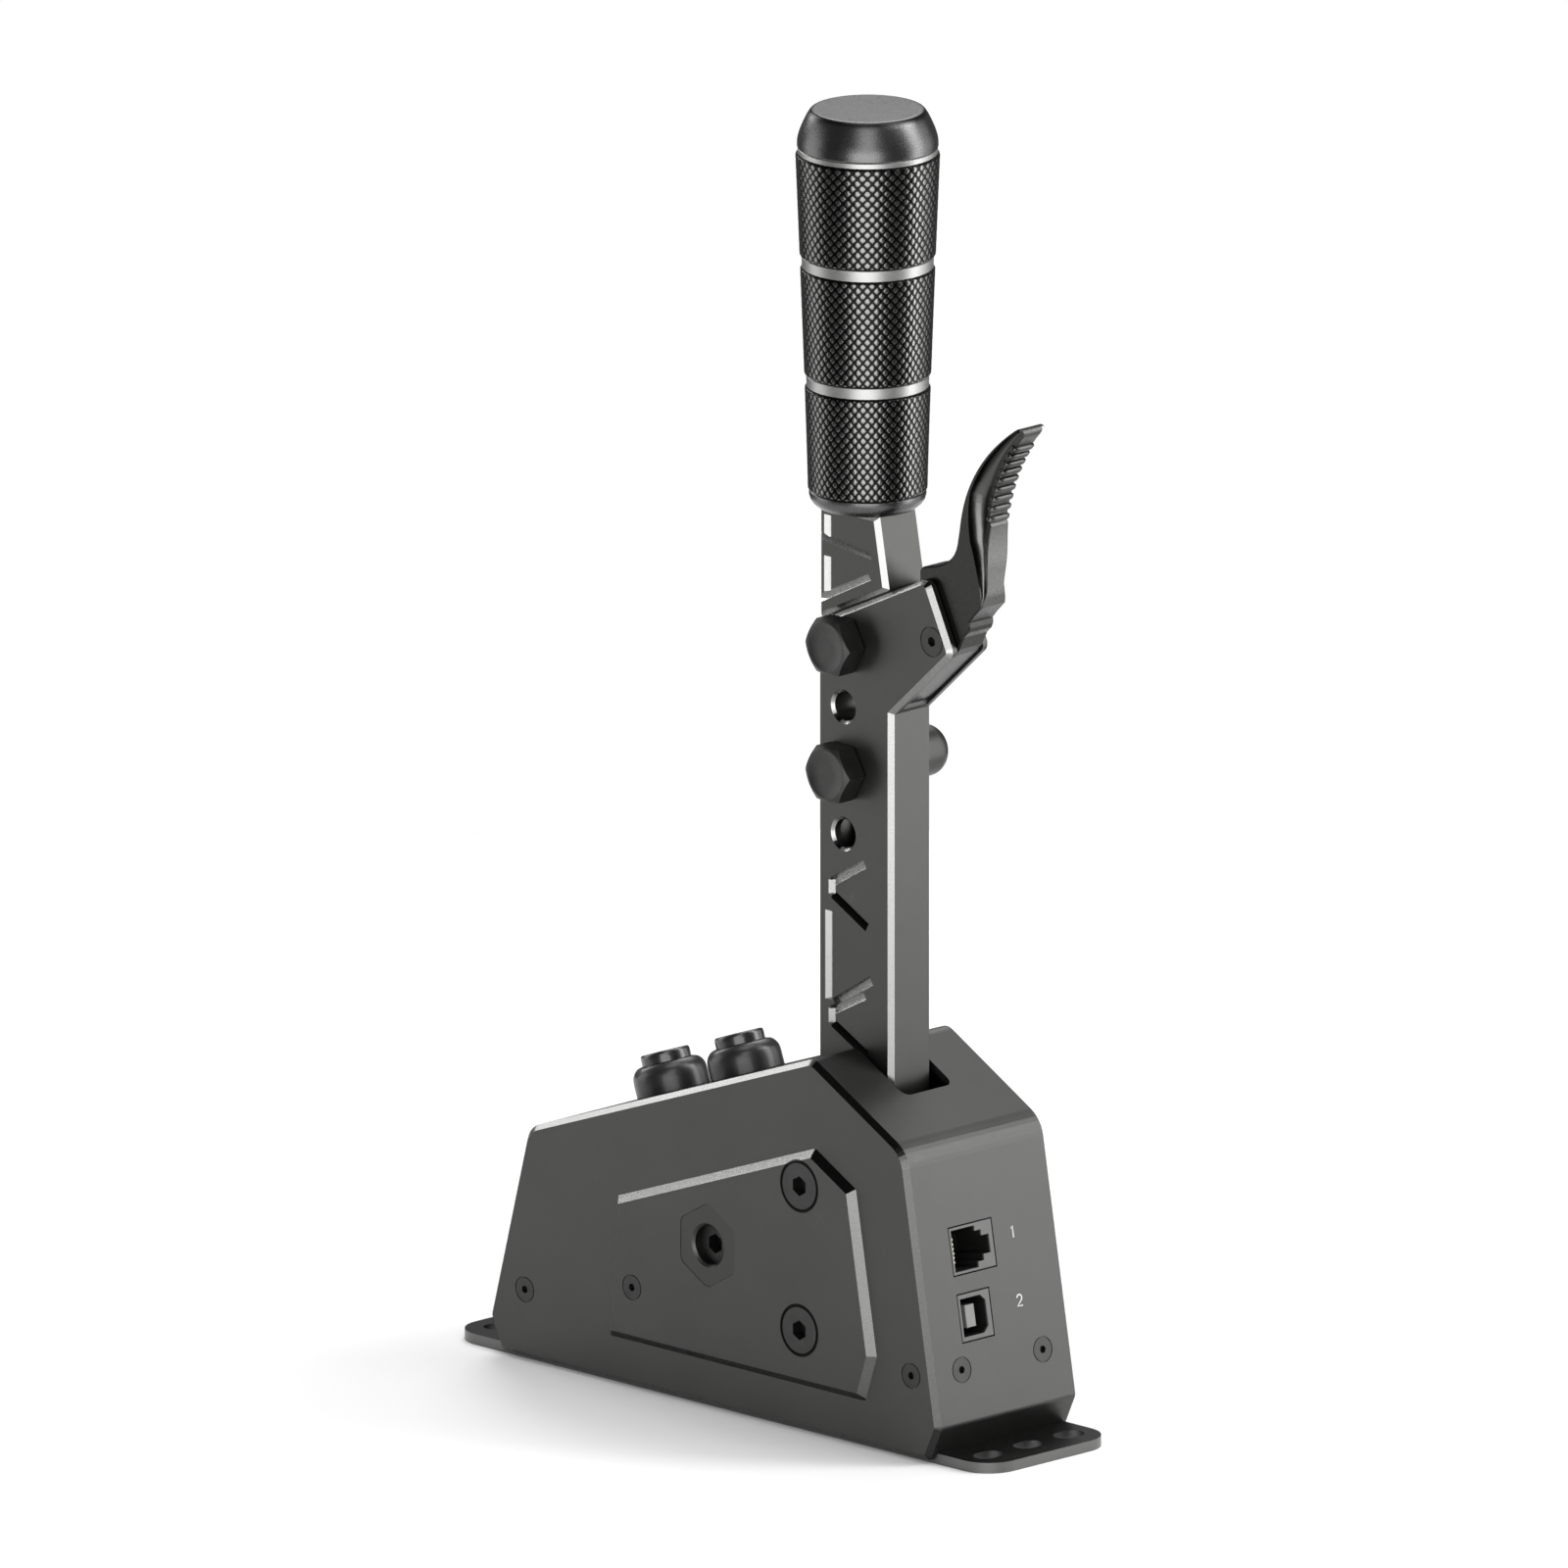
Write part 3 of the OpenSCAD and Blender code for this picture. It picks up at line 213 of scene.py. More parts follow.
def anodised(name, colour, rough=0.42, bright=1.6, grain=0.00028, cut=None, side=1.0, shade=1.0, over=None):
    """Blasted and anodised aluminium: fine grain in the bump, cloudy dye, rubbed spots and a few hairlines.
    With cut, the chamfers, whose normals lean between the side and the edge, are painted near black as
    painted shade, and those that lean to the light are painted to that colour as a painted highlight; side is
    how much of it those facing the port get, and shade how much painted shade keeps those dark that face up
    and ahead.
    over takes the paint and the tone, and gives the tone back with more on it."""
    paint = Paint(name, Metallic=1.0, Specular_IOR_Level=0.5)
    cloud = paint.noise(0.03, 3)
    blast = paint.noise(grain, 3, 0.6)
    hairs = paint.noise(0.0012, 2, 0.6, paint.place(0.06, 1, 1.6)).ramp(0.70, 0.76)
    rubbed = (paint.noise(0.011, 4, 0.7) + blast * 0.25).ramp(0.78, 0.92)
    dark = tuple(0.86 * c for c in colour)
    light = tuple(min(1.0, bright * c) for c in colour)
    tone = paint.blend(cloud, dark, tuple(1.12 * c for c in colour))
    tone = paint.blend(rubbed * 0.35 + hairs * 0.12 + blast * 0.10, tone, light)
    gloss = rough + (blast - 0.5) * 0.16 + (cloud - 0.5) * 0.08 - rubbed * 0.06 + hairs * 0.05
    if cut:
        lean = paint.add("TexCoord", {}, out="Normal")
        x, y, z = (paint.add("SeparateXYZ", {}, lean, out=axis) for axis in "XYZ")
        aside = abs(paint.add("SeparateXYZ", {}, paint.place(), out="Y"))
        outer = aside.ramp(FLANK_FACE + 0.0001, FLANK_FACE - 0.0001)
        chamfer = abs(y).ramp(0.35, 0.5) * abs(y).ramp(0.9, 0.82)
        painted_glint = chamfer * (z.ramp(-0.35, -0.2) if side < 1 else 1 - z.ramp(-0.2, -0.35) * x.ramp(0.1, 0.0))
        painted_glint = painted_glint * (1 - x.ramp(0.1, 0.2) * z.ramp(0.38, 0.45) * shade)
        painted_glint = painted_glint * (1 - x.ramp(0.4, 0.6) * (1 - side)) * (1 - outer * x.ramp(0.4, 0.6) * (1 - side))
        # Every chamfer is painted near black as painted shade; those leaning to the light are then painted to
        # the cut colour as a painted highlight.
        tone = paint.blend(chamfer * 0.85, tone, SHADE_BLACK)
        tone = paint.blend(painted_glint * (0.85 + rubbed * 0.15), tone, cut)
        gloss = gloss - chamfer * 0.14
    if over:
        tone = over(paint, tone)
    return paint.on(Base_Color=tone, Roughness=gloss, Normal=paint.bump(blast - hairs * 0.3, grain * 0.10))


def joined(name, sheets, paint, body, sharp=30, stand_for=(), crest=None):
    """One piece from sheets of points. Each sheet is an array of rows by columns by 3, in metres; each four
    neighbours become a face, points at one place are merged, so that seams and poles close, and faces are
    turned outwards. Edges sharper than the angle stay crisp. crest gives each point a value for the paint."""
    points = np.concatenate([s.reshape(-1, 3) for s in sheets])
    faces, start = [], 0
    for sheet in sheets:
        rows, columns = sheet.shape[:2]
        i = np.arange(rows * columns).reshape(rows, columns) + start
        faces.append(np.stack([i[:-1, :-1], i[1:, :-1], i[1:, 1:], i[:-1, 1:]], -1).reshape(-1, 4))
        start += rows * columns
    faces = np.concatenate(faces)
    mesh = bpy.data.meshes.new(name)
    mesh.vertices.add(len(points))
    mesh.vertices.foreach_set("co", points.astype(np.float32).ravel())
    mesh.loops.add(faces.size)
    mesh.loops.foreach_set("vertex_index", faces.astype(np.int32).ravel())
    mesh.polygons.add(len(faces))
    mesh.polygons.foreach_set("loop_start", np.arange(0, faces.size, 4, dtype=np.int32))
    mesh.update(calc_edges=True)
    if crest is not None:
        heights = mesh.attributes.new("crest", "FLOAT", "POINT")
        heights.data.foreach_set("value", crest.astype(np.float32).ravel())
    return finished(name, mesh, paint, body, sharp, stand_for)


MERGE = 2e-6


def finished(name, mesh, paint, body, sharp, stand_for):
    """Merges, turns and shades a mesh, makes it an object, hangs it on the body it rides on and hides the
    imported nodes it stands for.
    """
    form = bmesh.new()
    form.from_mesh(mesh)
    bmesh.ops.remove_doubles(form, verts=form.verts, dist=MERGE)
    bmesh.ops.dissolve_degenerate(form, edges=form.edges, dist=MERGE / 2)
    bmesh.ops.recalc_face_normals(form, faces=form.faces)
    form.to_mesh(mesh)
    form.free()
    mesh.materials.append(paint)
    mesh.polygons.foreach_set("use_smooth", np.ones(len(mesh.polygons), bool))
    mesh.set_sharp_from_angle(angle=radians(sharp))
    piece = bpy.data.objects.new(name, mesh)
    bpy.context.scene.collection.objects.link(piece)
    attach(piece, body)
    if stand_for:
        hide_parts(*stand_for)
    return piece


def dress(paint, *nodes):
    """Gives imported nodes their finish."""
    for node in nodes:
        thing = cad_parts[node]
        if not thing.data.materials:
            thing.data.materials.append(paint)
        for hook in thing.material_slots:
            hook.material = paint


def painted_side_light(paint, tone):
    """The upright sides of a plate are painted paler than its faces, as a painted highlight."""
    z = paint.add("SeparateXYZ", {}, paint.add("TexCoord", {}, out="Normal"), out="Z")
    return paint.blend(abs(z).ramp(0.9, 0.5), tone, (0.15, 0.15, 0.148))


# The base plate's upright sides are painted paler than its faces as a painted highlight.
dress(anodised("base_plate_dye", (0.012, 0.012, 0.0117), 0.36, 2.2, over=painted_side_light), "base_plate")

# Flank plates: 2.6 mm aluminium milled with a raised field and wide chamfers, blasted, anodised dark grey.
# They are screwed to the corner blocks and the ties from outside.
SEAT_X, SEAT_HEIGHTS, SEAT_INNER, SEAT_OUTER, SEAT_FADE = 0.0356, (0.0295, 0.0703), 0.0063, 0.0076, 0.0003


def painted_seat_shade(paint, tone):
    """A dark ring of painted shade where the two large screws sit in their countersinks."""
    x, z = (paint.add("SeparateXYZ", {}, paint.place(), out=axis) for axis in "XZ")
    for height in SEAT_HEIGHTS:
        away = ((x - SEAT_X) ** 2 + (z - height) ** 2) ** 0.5
        ring = away.ramp(SEAT_INNER, SEAT_INNER + SEAT_FADE) * away.ramp(SEAT_OUTER, SEAT_OUTER - SEAT_FADE)
        tone = paint.blend(ring, tone, SHADE_BLACK)
    return tone


# The flanks' chamfers are painted near black as painted shade and pale where they lean to the light as a
# painted highlight, with rings of painted shade round the two large screws.
flank_dye = anodised("flank_dye", (0.073, 0.073, 0.071), cut=(0.26, 0.26, 0.255), side=0.5, over=painted_seat_shade)
dress(flank_dye, "side_plate_near", "side_plate_far")

# Folded cover: one bent aluminium sheet over the driver's face, the deck, the shoulder and the port face.
# It has the same blasted dye, a touch lighter.
dress(anodised("cover_dye", (0.073, 0.073, 0.0715)), "wrap_cover")

# Arm and upper bar: 16 mm aluminium bar, milled, with the same dye as the flanks.
# The bar's tongue slides in the arm's pocket and two bolts clamp it.
def painted_groove_glint(paint, tone):
    """The grooves' walls that face up are painted pale as a painted highlight."""
    lean = paint.add("TexCoord", {}, out="Normal")
    x, y, z = (paint.add("SeparateXYZ", {}, lean, out=axis) for axis in "XYZ")
    painted_glint = z.ramp(0.4, 0.55) * abs(y).ramp(0.5, 0.65) * (1 - x.ramp(0.15, 0.25))
    return paint.blend(painted_glint, tone, (0.65, 0.65, 0.64))


# The arm's and bar's chamfers are painted near black as painted shade and pale as a painted highlight, and
# their grooves' upward walls pale as a painted highlight.
dress(anodised("arm_dye", (0.068, 0.068, 0.0655), 0.40, cut=(0.31, 0.31, 0.305), over=painted_groove_glint),
      "lower_arm")
dress(anodised("bar_dye", (0.066, 0.066, 0.0635), 0.40, cut=(0.30, 0.30, 0.295), shade=0.0,
               over=painted_groove_glint), "upper_bar")


# Corner blocks and ties: milled aluminium bar, plain, with the cutter's marks across it.
# They sit between the flanks and take all the screws. The shaft, pins, bushes and posts are turned.
def milled(name, colour, rough=0.34, pitch=0.0005):
    """Machined metal: fine parallel cutter marks that wander a little, with clouds of duller skin."""
    paint = Paint(name, Metallic=1.0)
    spot = paint.place()
    wander = paint.noise(0.006, 2)
    x, z = (paint.add("SeparateXYZ", {}, spot, out=axis) for axis in "XZ")
    wave = (z + x * 0.35) * (2 * pi / pitch) + wander * 5
    marks = wave.sum("SINE", wave)
    dull = paint.noise(0.012, 4, 0.6)
    tone = paint.blend(dull, tuple(0.8 * c for c in colour), colour)
    gloss = rough + dull * 0.15 + marks * 0.04
    return paint.on(Base_Color=tone, Roughness=gloss, Normal=paint.bump(marks, 4e-6))


bare_metal = milled("milled_bar", (0.56, 0.56, 0.57))
dress(bare_metal, "front_block", "rear_block", "middle_tie", "rocker_plate")
ground_steel = milled("ground_steel", (0.62, 0.62, 0.63), 0.22, 0.00025)
dress(ground_steel, "pivot_shaft", "stop_pin", "return_springs", "sensor_magnet", "stop_magnet",
      "lever_magnet", "button_nuts", "knob_screw")
dress(milled("bush_bronze", (0.62, 0.46, 0.24), 0.38, 0.0004), "arm_bushes")
dress(milled("post_brass", (0.70, 0.56, 0.28), 0.30, 0.0003),
      "board_posts", "port_board_posts", "sensor_posts")


# Screws, nuts and bolts: steel, turned or forged, with a black oxide skin that is a little oily and
# rubbed grey on the corners.
def black_steel(name, colour=(0.055, 0.055, 0.054), rough=0.36, over=None):
    """Oxidised steel: cloudy black skin, small grey rubs and a fine grain."""
    paint = Paint(name, Metallic=1.0)
    cloud = paint.noise(0.004, 4, 0.6)
    grain = paint.noise(0.0003, 2)
    rubs = (paint.noise(0.0025, 4, 0.7) + grain * 0.2).ramp(0.74, 0.9)
    tone = paint.blend(cloud, tuple(0.75 * c for c in colour), tuple(1.3 * c for c in colour))
    tone = paint.blend(rubs * 0.5, tone, (0.2, 0.2, 0.195))
    if over:
        tone = over(paint, tone)
    gloss = rough + cloud * 0.14 - rubs * 0.05
    return paint.on(Base_Color=tone, Roughness=gloss, Normal=paint.bump(grain, 1.5e-5))


screw_black = black_steel("screw_black")
dress(screw_black, "base_screws", "flank_screws", "port_screws", "rocker_screws", "lever_pin")
# The two large screws carry the same ring of painted shade where they meet their countersinks.
dress(black_steel("seated_screws", over=painted_seat_shade), "pivot_screws", "stop_screws")
dress(anodised("nut_dye", (0.063, 0.063, 0.061), 0.40), "hex_nuts")
dress(black_steel("tie_steel", (0.04, 0.04, 0.039), 0.42), "cross_tie")


# Clamp bolts and dome nuts: forged hexagon bolts with a turned chamfer on the head, and long nuts with
# round ends on the far side, both oxidised black. Two bolts clamp the bar's tongue in the arm.
def softened(corners, passes=3):
    """Rounds a line of points: each pass cuts every corner at a quarter of its two sides. The ends stay."""
    corners = np.array(corners, float)
    for _ in range(passes):
        a, b = corners[:-1], corners[1:]
        cut = np.stack([0.75 * a + 0.25 * b, 0.25 * a + 0.75 * b], 1).reshape(-1, corners.shape[1])
        corners = np.concatenate([corners[:1], cut, corners[-1:]])
    return corners


def around(profile, foot, out, steps=96):
    """Sweeps a line of radii and heights once round the axis that starts at foot and points along out. With
    three dimensions the profile has its own radii and heights for each step round."""
    profile = profile[:, None] if profile.ndim == 2 else profile
    out = np.array(out) / np.linalg.norm(out)
    ahead = np.cross(out, (0, 1, 0)) if abs(out[1]) < 0.9 else np.array((1.0, 0, 0))
    aside = np.cross(out, ahead)
    turn = np.linspace(0, 2 * pi, steps + 1)[None, :, None]
    spoke = np.cos(turn) * ahead + np.sin(turn) * aside
    return np.array(foot) + profile[..., :1] * spoke + profile[..., 1:] * out


def bolt_profile(corner=0.00865, height=0.007, shank=0.004, length=0.028, flat=0.0071):
    """The side of the head stands at corner * cos 30 / cos(t) from the axis, t being the angle from the
    middle of a side; the chamfer falls from the flat top by 0.62 of the distance, so each side ends in an
    arc."""
    t = np.mod(np.linspace(0, 360, 97), 60) - 30
    side = corner * cos(radians(30)) / np.cos(np.radians(t))
    brow = height - 0.62 * np.clip(side - flat, 0, None)
    lines = [(0 * t, -length), (0 * t + shank - 0.0004, -length), (0 * t + shank, -length + 0.0004)]
    lines += [(0 * t + shank, 0), (0.93 * side, 0), (side, 0.00035), (side, brow)]
    lines += [(side + (flat - side) * k, brow + (height - brow) * k) for k in (0.35, 0.7, 1)]
    dish = ((0.0066, 0), (0.0062, 0.00018), (0.003, 0.00022), (0, 0.00022))
    lines += [(0 * t + r, height - h) for r, h in dish]
    return np.stack([np.stack(np.broadcast_arrays(r, h), -1) for r, h in lines])


CLAMP_X, ARM_SIDE, BOLTS = 0.0315, 0.008, (0.2193, 0.1833)
joined("clamp_bolts_forged", [around(bolt_profile(), (CLAMP_X, -ARM_SIDE, z), (0, -1, 0)) for z in BOLTS],
       screw_black, "shift_lever", 24, ("clamp_bolts",))
NUT, NUT_BORE, NUT_DEPTH, NUT_STRAIGHT, NUT_DOME = 0.00725, 0.00405, 0.0122, 0.0152, 0.0058
arc = np.linspace(0, pi / 2, 13)
dome_line = np.concatenate([[(0, NUT_DEPTH), (NUT_BORE, NUT_DEPTH), (NUT_BORE, 0), (0.0067, 0)],
                            softened([(0.0069, 0), (NUT, 0.0003), (NUT, 0.0009)], 2),
                            np.stack([NUT * np.cos(arc), NUT_STRAIGHT + NUT_DOME * np.sin(arc)], -1)])
joined("dome_nuts_turned", [around(dome_line, (CLAMP_X, ARM_SIDE, z), (0, 1, 0)) for z in BOLTS],
       screw_black, "shift_lever", 40, ("dome_nuts",))


# Moulded pieces inside: spacers on the shaft, the finger lever's stop and its switch, in plastic, and the
# rubber sleeve pushed over the stop pin. The sockets' shells further down take the same finish.
PORT_LEAN, PORT_FACE, SHELL_FRONT, SHELL_FADE = radians(10), 0.088226, 0.0880, 0.0006


def moulded(name, colour, rough=0.5, coat=0.0, recess_shade=None):
    """Moulded plastic: a fine spark-eroded grain with faint flow clouds. With a recess colour, everything
    deeper than SHELL_FRONT, measured square to the leaning port face, fades to that colour within SHELL_FADE,
    as painted shade within the sockets' mouths."""
    paint = Paint(name, Coat_Roughness=0.12)
    grain = paint.noise(0.00035, 3, 0.6)
    flow = paint.noise(0.012, 3, 0.6)
    tone = paint.blend(flow, tuple(0.85 * c for c in colour), tuple(1.15 * c for c in colour))
    if recess_shade:
        x, z = (paint.add("SeparateXYZ", {}, paint.place(), out=axis) for axis in "XZ")
        depth = x * cos(PORT_LEAN) + z * sin(PORT_LEAN)
        tone = paint.blend(depth.ramp(SHELL_FRONT, SHELL_FRONT - SHELL_FADE), tone, recess_shade)
    return paint.on(Base_Color=tone, Roughness=rough + (grain - 0.5) * 0.12,
                    Coat_Weight=coat + flow * 0.02, Normal=paint.bump(grain, 2e-5))


dress(moulded("spacer_plastic", (0.06, 0.06, 0.06)), "pivot_spacers", "lever_stop", "micro_switch")
dress(moulded("sleeve_rubber", (0.03, 0.03, 0.03), 0.75), "stop_sleeve")


# Circuit boards: glass fibre with a green mask, copper tracks showing through it as lighter lines. They
# stand on brass posts inside the housing.
def board_mask():
    """Green mask over a grid of tracks, worked out from brick-like cells."""
    paint = Paint("board_mask", Specular_IOR_Level=0.5)
    tracks = paint.add("TexBrick", {"offset": 0.5}, paint.place(), (0, 0, 0), (0, 0, 0), (1, 1, 1),
                       Scale=1.0, Mortar_Size=0.0003, Mortar_Smooth=0.2, Brick_Width=0.0074,
                       Row_Height=0.0021)
    cloud = paint.noise(0.004)
    lines = paint.add("RGBToBW", {}, tracks)
    tone = paint.blend(lines, (0.02, 0.10, 0.045), (0.04, 0.19, 0.08))
    return paint.on(Base_Color=tone, Roughness=0.25 + cloud * 0.15, Normal=paint.bump(lines, 3e-5))


dress(board_mask(), "main_board", "port_board", "sensor_board")

# Sockets on the port face: a network jack and a square USB socket, both in grey moulded shells,
# soldered to the upright board behind the face. The contacts are gilt wires.
# The shells are painted near black deeper than the port face, as painted shade within the sockets.
shell_grey = moulded("socket_shell", (0.085, 0.085, 0.083), 0.45, recess_shade=(0.004, 0.004, 0.004))
dress(shell_grey, "network_jack", "usb_socket")
dress(moulded("tongue_grey", (0.16, 0.16, 0.155), 0.4), "usb_tongue")
dress(milled("contact_gold", (0.86, 0.78, 0.58), 0.3, 0.0002), "jack_contacts")


# Port numbers: a plain 1 and 2 beside the sockets, printed on the port face in pale grey ink, a twentieth
# of a millimetre thick.
ink = moulded("pale_ink", (0.55, 0.55, 0.54), 0.6)


def inked(name, strokes, y, z, width=0.00042, high=0.0034, thick=0.00005):
    """Each stroke is a line of points in a box one high; it becomes a flat bar of that width on the port
    face, with the ends cut square and the corners mitred."""
    sheets = []
    out = np.array((cos(PORT_LEAN), 0, sin(PORT_LEAN)))
    up = np.array((-sin(PORT_LEAN), 0, cos(PORT_LEAN)))
    foot = out * PORT_FACE + up * (z - PORT_FACE * sin(PORT_LEAN)) / cos(PORT_LEAN) + np.array((0, y, 0))
    for stroke in strokes:
        line = np.array(stroke) * high
        way = np.gradient(line, axis=0)
        way /= np.linalg.norm(way, axis=1, keepdims=True)
        aside = np.stack([-way[:, 1], way[:, 0]], -1) * width / 2
        left, right = line + aside, line - aside
        ring = np.stack([left, right, right, left, left], 1)
        level = np.array((-thick, -thick, thick, thick, -thick))[None, :, None]
        sheet = foot + ring[..., :1] * np.array((0, 1, 0)) + ring[..., 1:] * up + level * out
        ends = [np.broadcast_to(s.mean(0), s.shape)[None] for s in (sheet[0, :4], sheet[-1, :4])]
        ends = [np.concatenate([e, e[:, :1]], 1) for e in ends]
        sheets.append(np.concatenate([ends[0], sheet, ends[1]]))
    return joined(name, sheets, ink, "housing", 30)


bow = np.linspace(pi * 0.95, -pi * 0.22, 15)
inked("port_number_1", [[(-0.16, 0.78), (0.02, 0.97), (0.02, 0.0)]], 0.0098, 0.0568)
inked("port_number_2", [[*zip(0.27 * np.cos(bow), 0.71 + 0.27 * np.sin(bow)), (-0.28, 0.06), (0.30, 0.06)]],
      0.0092, 0.0380)


# Push buttons on the deck: a collar with a rounded shoulder on a threaded barrel, and a slightly dished cap
# that slides in it, all turned and gloss black. A nut under the deck holds each collar by its barrel.
DECK_TILT, PEAK = radians(19.9), (0.0382, 0.1063)
COLLAR, COLLAR_TOP, CAP, CAP_TOP = 0.0104, 0.0084, 0.00695, 0.0114
THREAD, THREAD_DEPTH, TURNS = 0.00775, 0.00025, 42
collar_black = moulded("collar_black", (0.009, 0.009, 0.009), 0.36, 0.15)
cap_gloss = moulded("button_gloss", (0.010, 0.010, 0.010), 0.28, 0.45)
crest_line = np.linspace(-0.0172, -0.0006, 2 * TURNS)
thread = np.stack([THREAD + THREAD_DEPTH * (np.arange(2 * TURNS) % 2), crest_line], -1)
collar_line = np.concatenate([[(0, -0.018), (0.0074, -0.018)], thread,
                              [(0.0078, 0), (0.0102, 0), (COLLAR, 0.0002)],
                              softened([(COLLAR, 0.0010), (COLLAR, 0.0050), (0.0099, 0.0066),
                                        (0.0087, 0.0080), (0.0076, 0.0083)]),
                              [(0.00725, COLLAR_TOP), (0.00708, 0.0083), (0.00708, -0.0038), (0, -0.0038)]])
button_line = np.concatenate([[(0, -0.002), (CAP - 0.0002, -0.002), (CAP, -0.0018), (CAP, 0.0094)],
                              softened([(CAP, 0.0100), (0.00690, 0.0110), (0.0064, 0.01138),
                                        (0.0056, CAP_TOP)]),
                              [(0.0046, 0.01115), (0.0030, 0.01098), (0.0015, 0.01091), (0, 0.0109)]])
for number, x in ((1, -0.0422), (2, -0.0135)):
    foot = (x, 0, PEAK[1] - (PEAK[0] - x) * sin(DECK_TILT) / cos(DECK_TILT))
    out = (-sin(DECK_TILT), 0, cos(DECK_TILT))
    joined(f"button_collar_{number}_turned", [around(collar_line, foot, out)], collar_black,
           "housing", 28, (f"button_collar_{number}",))
    joined(f"button_cap_{number}_turned", [around(button_line, foot, out)], cap_gloss,
           f"button_{number}", 28, (f"button_cap_{number}",))


# Knob core: turned aluminium, left bright. It shows as two bands between the grips and a thin ring on top,
# and the screw through its middle holds it on the upper bar.
def turned_bright(name, colour, rough=0.26):
    """Lathe-turned metal: very fine rings that run round the axis, with grainy dull stretches."""
    paint = Paint(name, Metallic=1.0)
    rings = paint.noise(0.00022, 3, 0.6, paint.place(0.02, 0.02, 1))
    grain = paint.noise(0.0005, 3, 0.7)
    tone = paint.blend(grain, tuple(0.78 * c for c in colour), colour)
    return paint.on(Base_Color=tone, Roughness=rough + grain * 0.18,
                    Normal=paint.bump(rings + grain * 0.6, 1.2e-5))


KNOB, UP = (0.0329, 0, 0), (0, 0, 1)
KNOB_FOOT, GRIP_HEIGHT, FOOT_TAPER = 0.2573, 0.0997, 0.0047
GRIP_LOW, GRIP_TOP, CORE, CORE_BORE, SCREW_BORE, RING = 0.0164, 0.01985, 0.01325, 0.00805, 0.00305, 0.01925
BAND_LOW, BAND_HIGH, BAND = KNOB_FOOT + 0.339 * GRIP_HEIGHT, KNOB_FOOT + 0.676 * GRIP_HEIGHT, 0.0035
BAND_SUNK = 0.0005
RING_TOP, SPIGOT_TOP = KNOB_FOOT + GRIP_HEIGHT + 0.0018, KNOB_FOOT + GRIP_HEIGHT - 0.0117


def grip_radius(z):
    """The grip widens upwards as height to the power 1.15."""
    share = np.clip((z - KNOB_FOOT - FOOT_TAPER) / (GRIP_HEIGHT - FOOT_TAPER), 0, None)
    return GRIP_LOW + (GRIP_TOP - GRIP_LOW) * share ** 1.15


core_line = [(CORE_BORE, KNOB_FOOT), (CORE - 0.0001, KNOB_FOOT)]
for low in (BAND_LOW, BAND_HIGH):
    wide = grip_radius(low) - BAND_SUNK
    core_line += [(CORE - 0.0001, low + 0.0001), (wide - 0.0002, low + 0.0001), (wide, low + 0.0003),
                  (wide + 0.0001, low + BAND - 0.0003), (wide - 0.0001, low + BAND - 0.0001),
                  (CORE - 0.0001, low + BAND - 0.0001)]
core_line += [(CORE - 0.0001, RING_TOP - 0.0017), (0.01905, RING_TOP - 0.0017), (RING, RING_TOP - 0.0015),
              (RING, RING_TOP - 0.0002), (0.01905, RING_TOP), (SCREW_BORE, RING_TOP),
              (SCREW_BORE, SPIGOT_TOP), (CORE_BORE, SPIGOT_TOP), (CORE_BORE, KNOB_FOOT)]
joined("knob_core_turned", [around(np.array(core_line), KNOB, UP, 160)],
       turned_bright("band_bright", (0.37, 0.37, 0.365), 0.32), "shift_lever", 30, ("knob_core",))


# Grips: three turned aluminium sleeves with a cross-cut knurl, anodised black, pressed on to the core.
# Their small lens-shaped crests stand in staggered rows and are rubbed a little lighter, and the
# hollows between them are painted near black as painted shade.
CRESTS, PITCH, KNURL_DEPTH, CHAMFER, FACES_PER_CREST = 44, 0.00293, 0.00012, 0.0004, 8


def knurl_paint():
    """Black anodised knurl: the piece's own crest attribute makes the tops lighter and smoother where rubbed,
    and the hollows near black as painted shade.
    """
    paint = Paint("knurl_black", Metallic=1.0)
    crest = paint.add("Attribute", {"attribute_name": "crest"}, out="Fac")
    grain = paint.noise(0.0004, 3, 0.6)
    crest_wear_and_shade = (crest * (0.75 + grain * 0.5)).ramp(0.45, 1.0)
    tone = paint.blend(crest_wear_and_shade, (0.008, 0.008, 0.008), (0.142, 0.142, 0.138))
    return paint.on(Base_Color=tone, Roughness=0.28 - crest_wear_and_shade * 0.06 + (grain - 0.5) * 0.1,
                    Normal=paint.bump(grain, 1e-5))


knurl_black = knurl_paint()


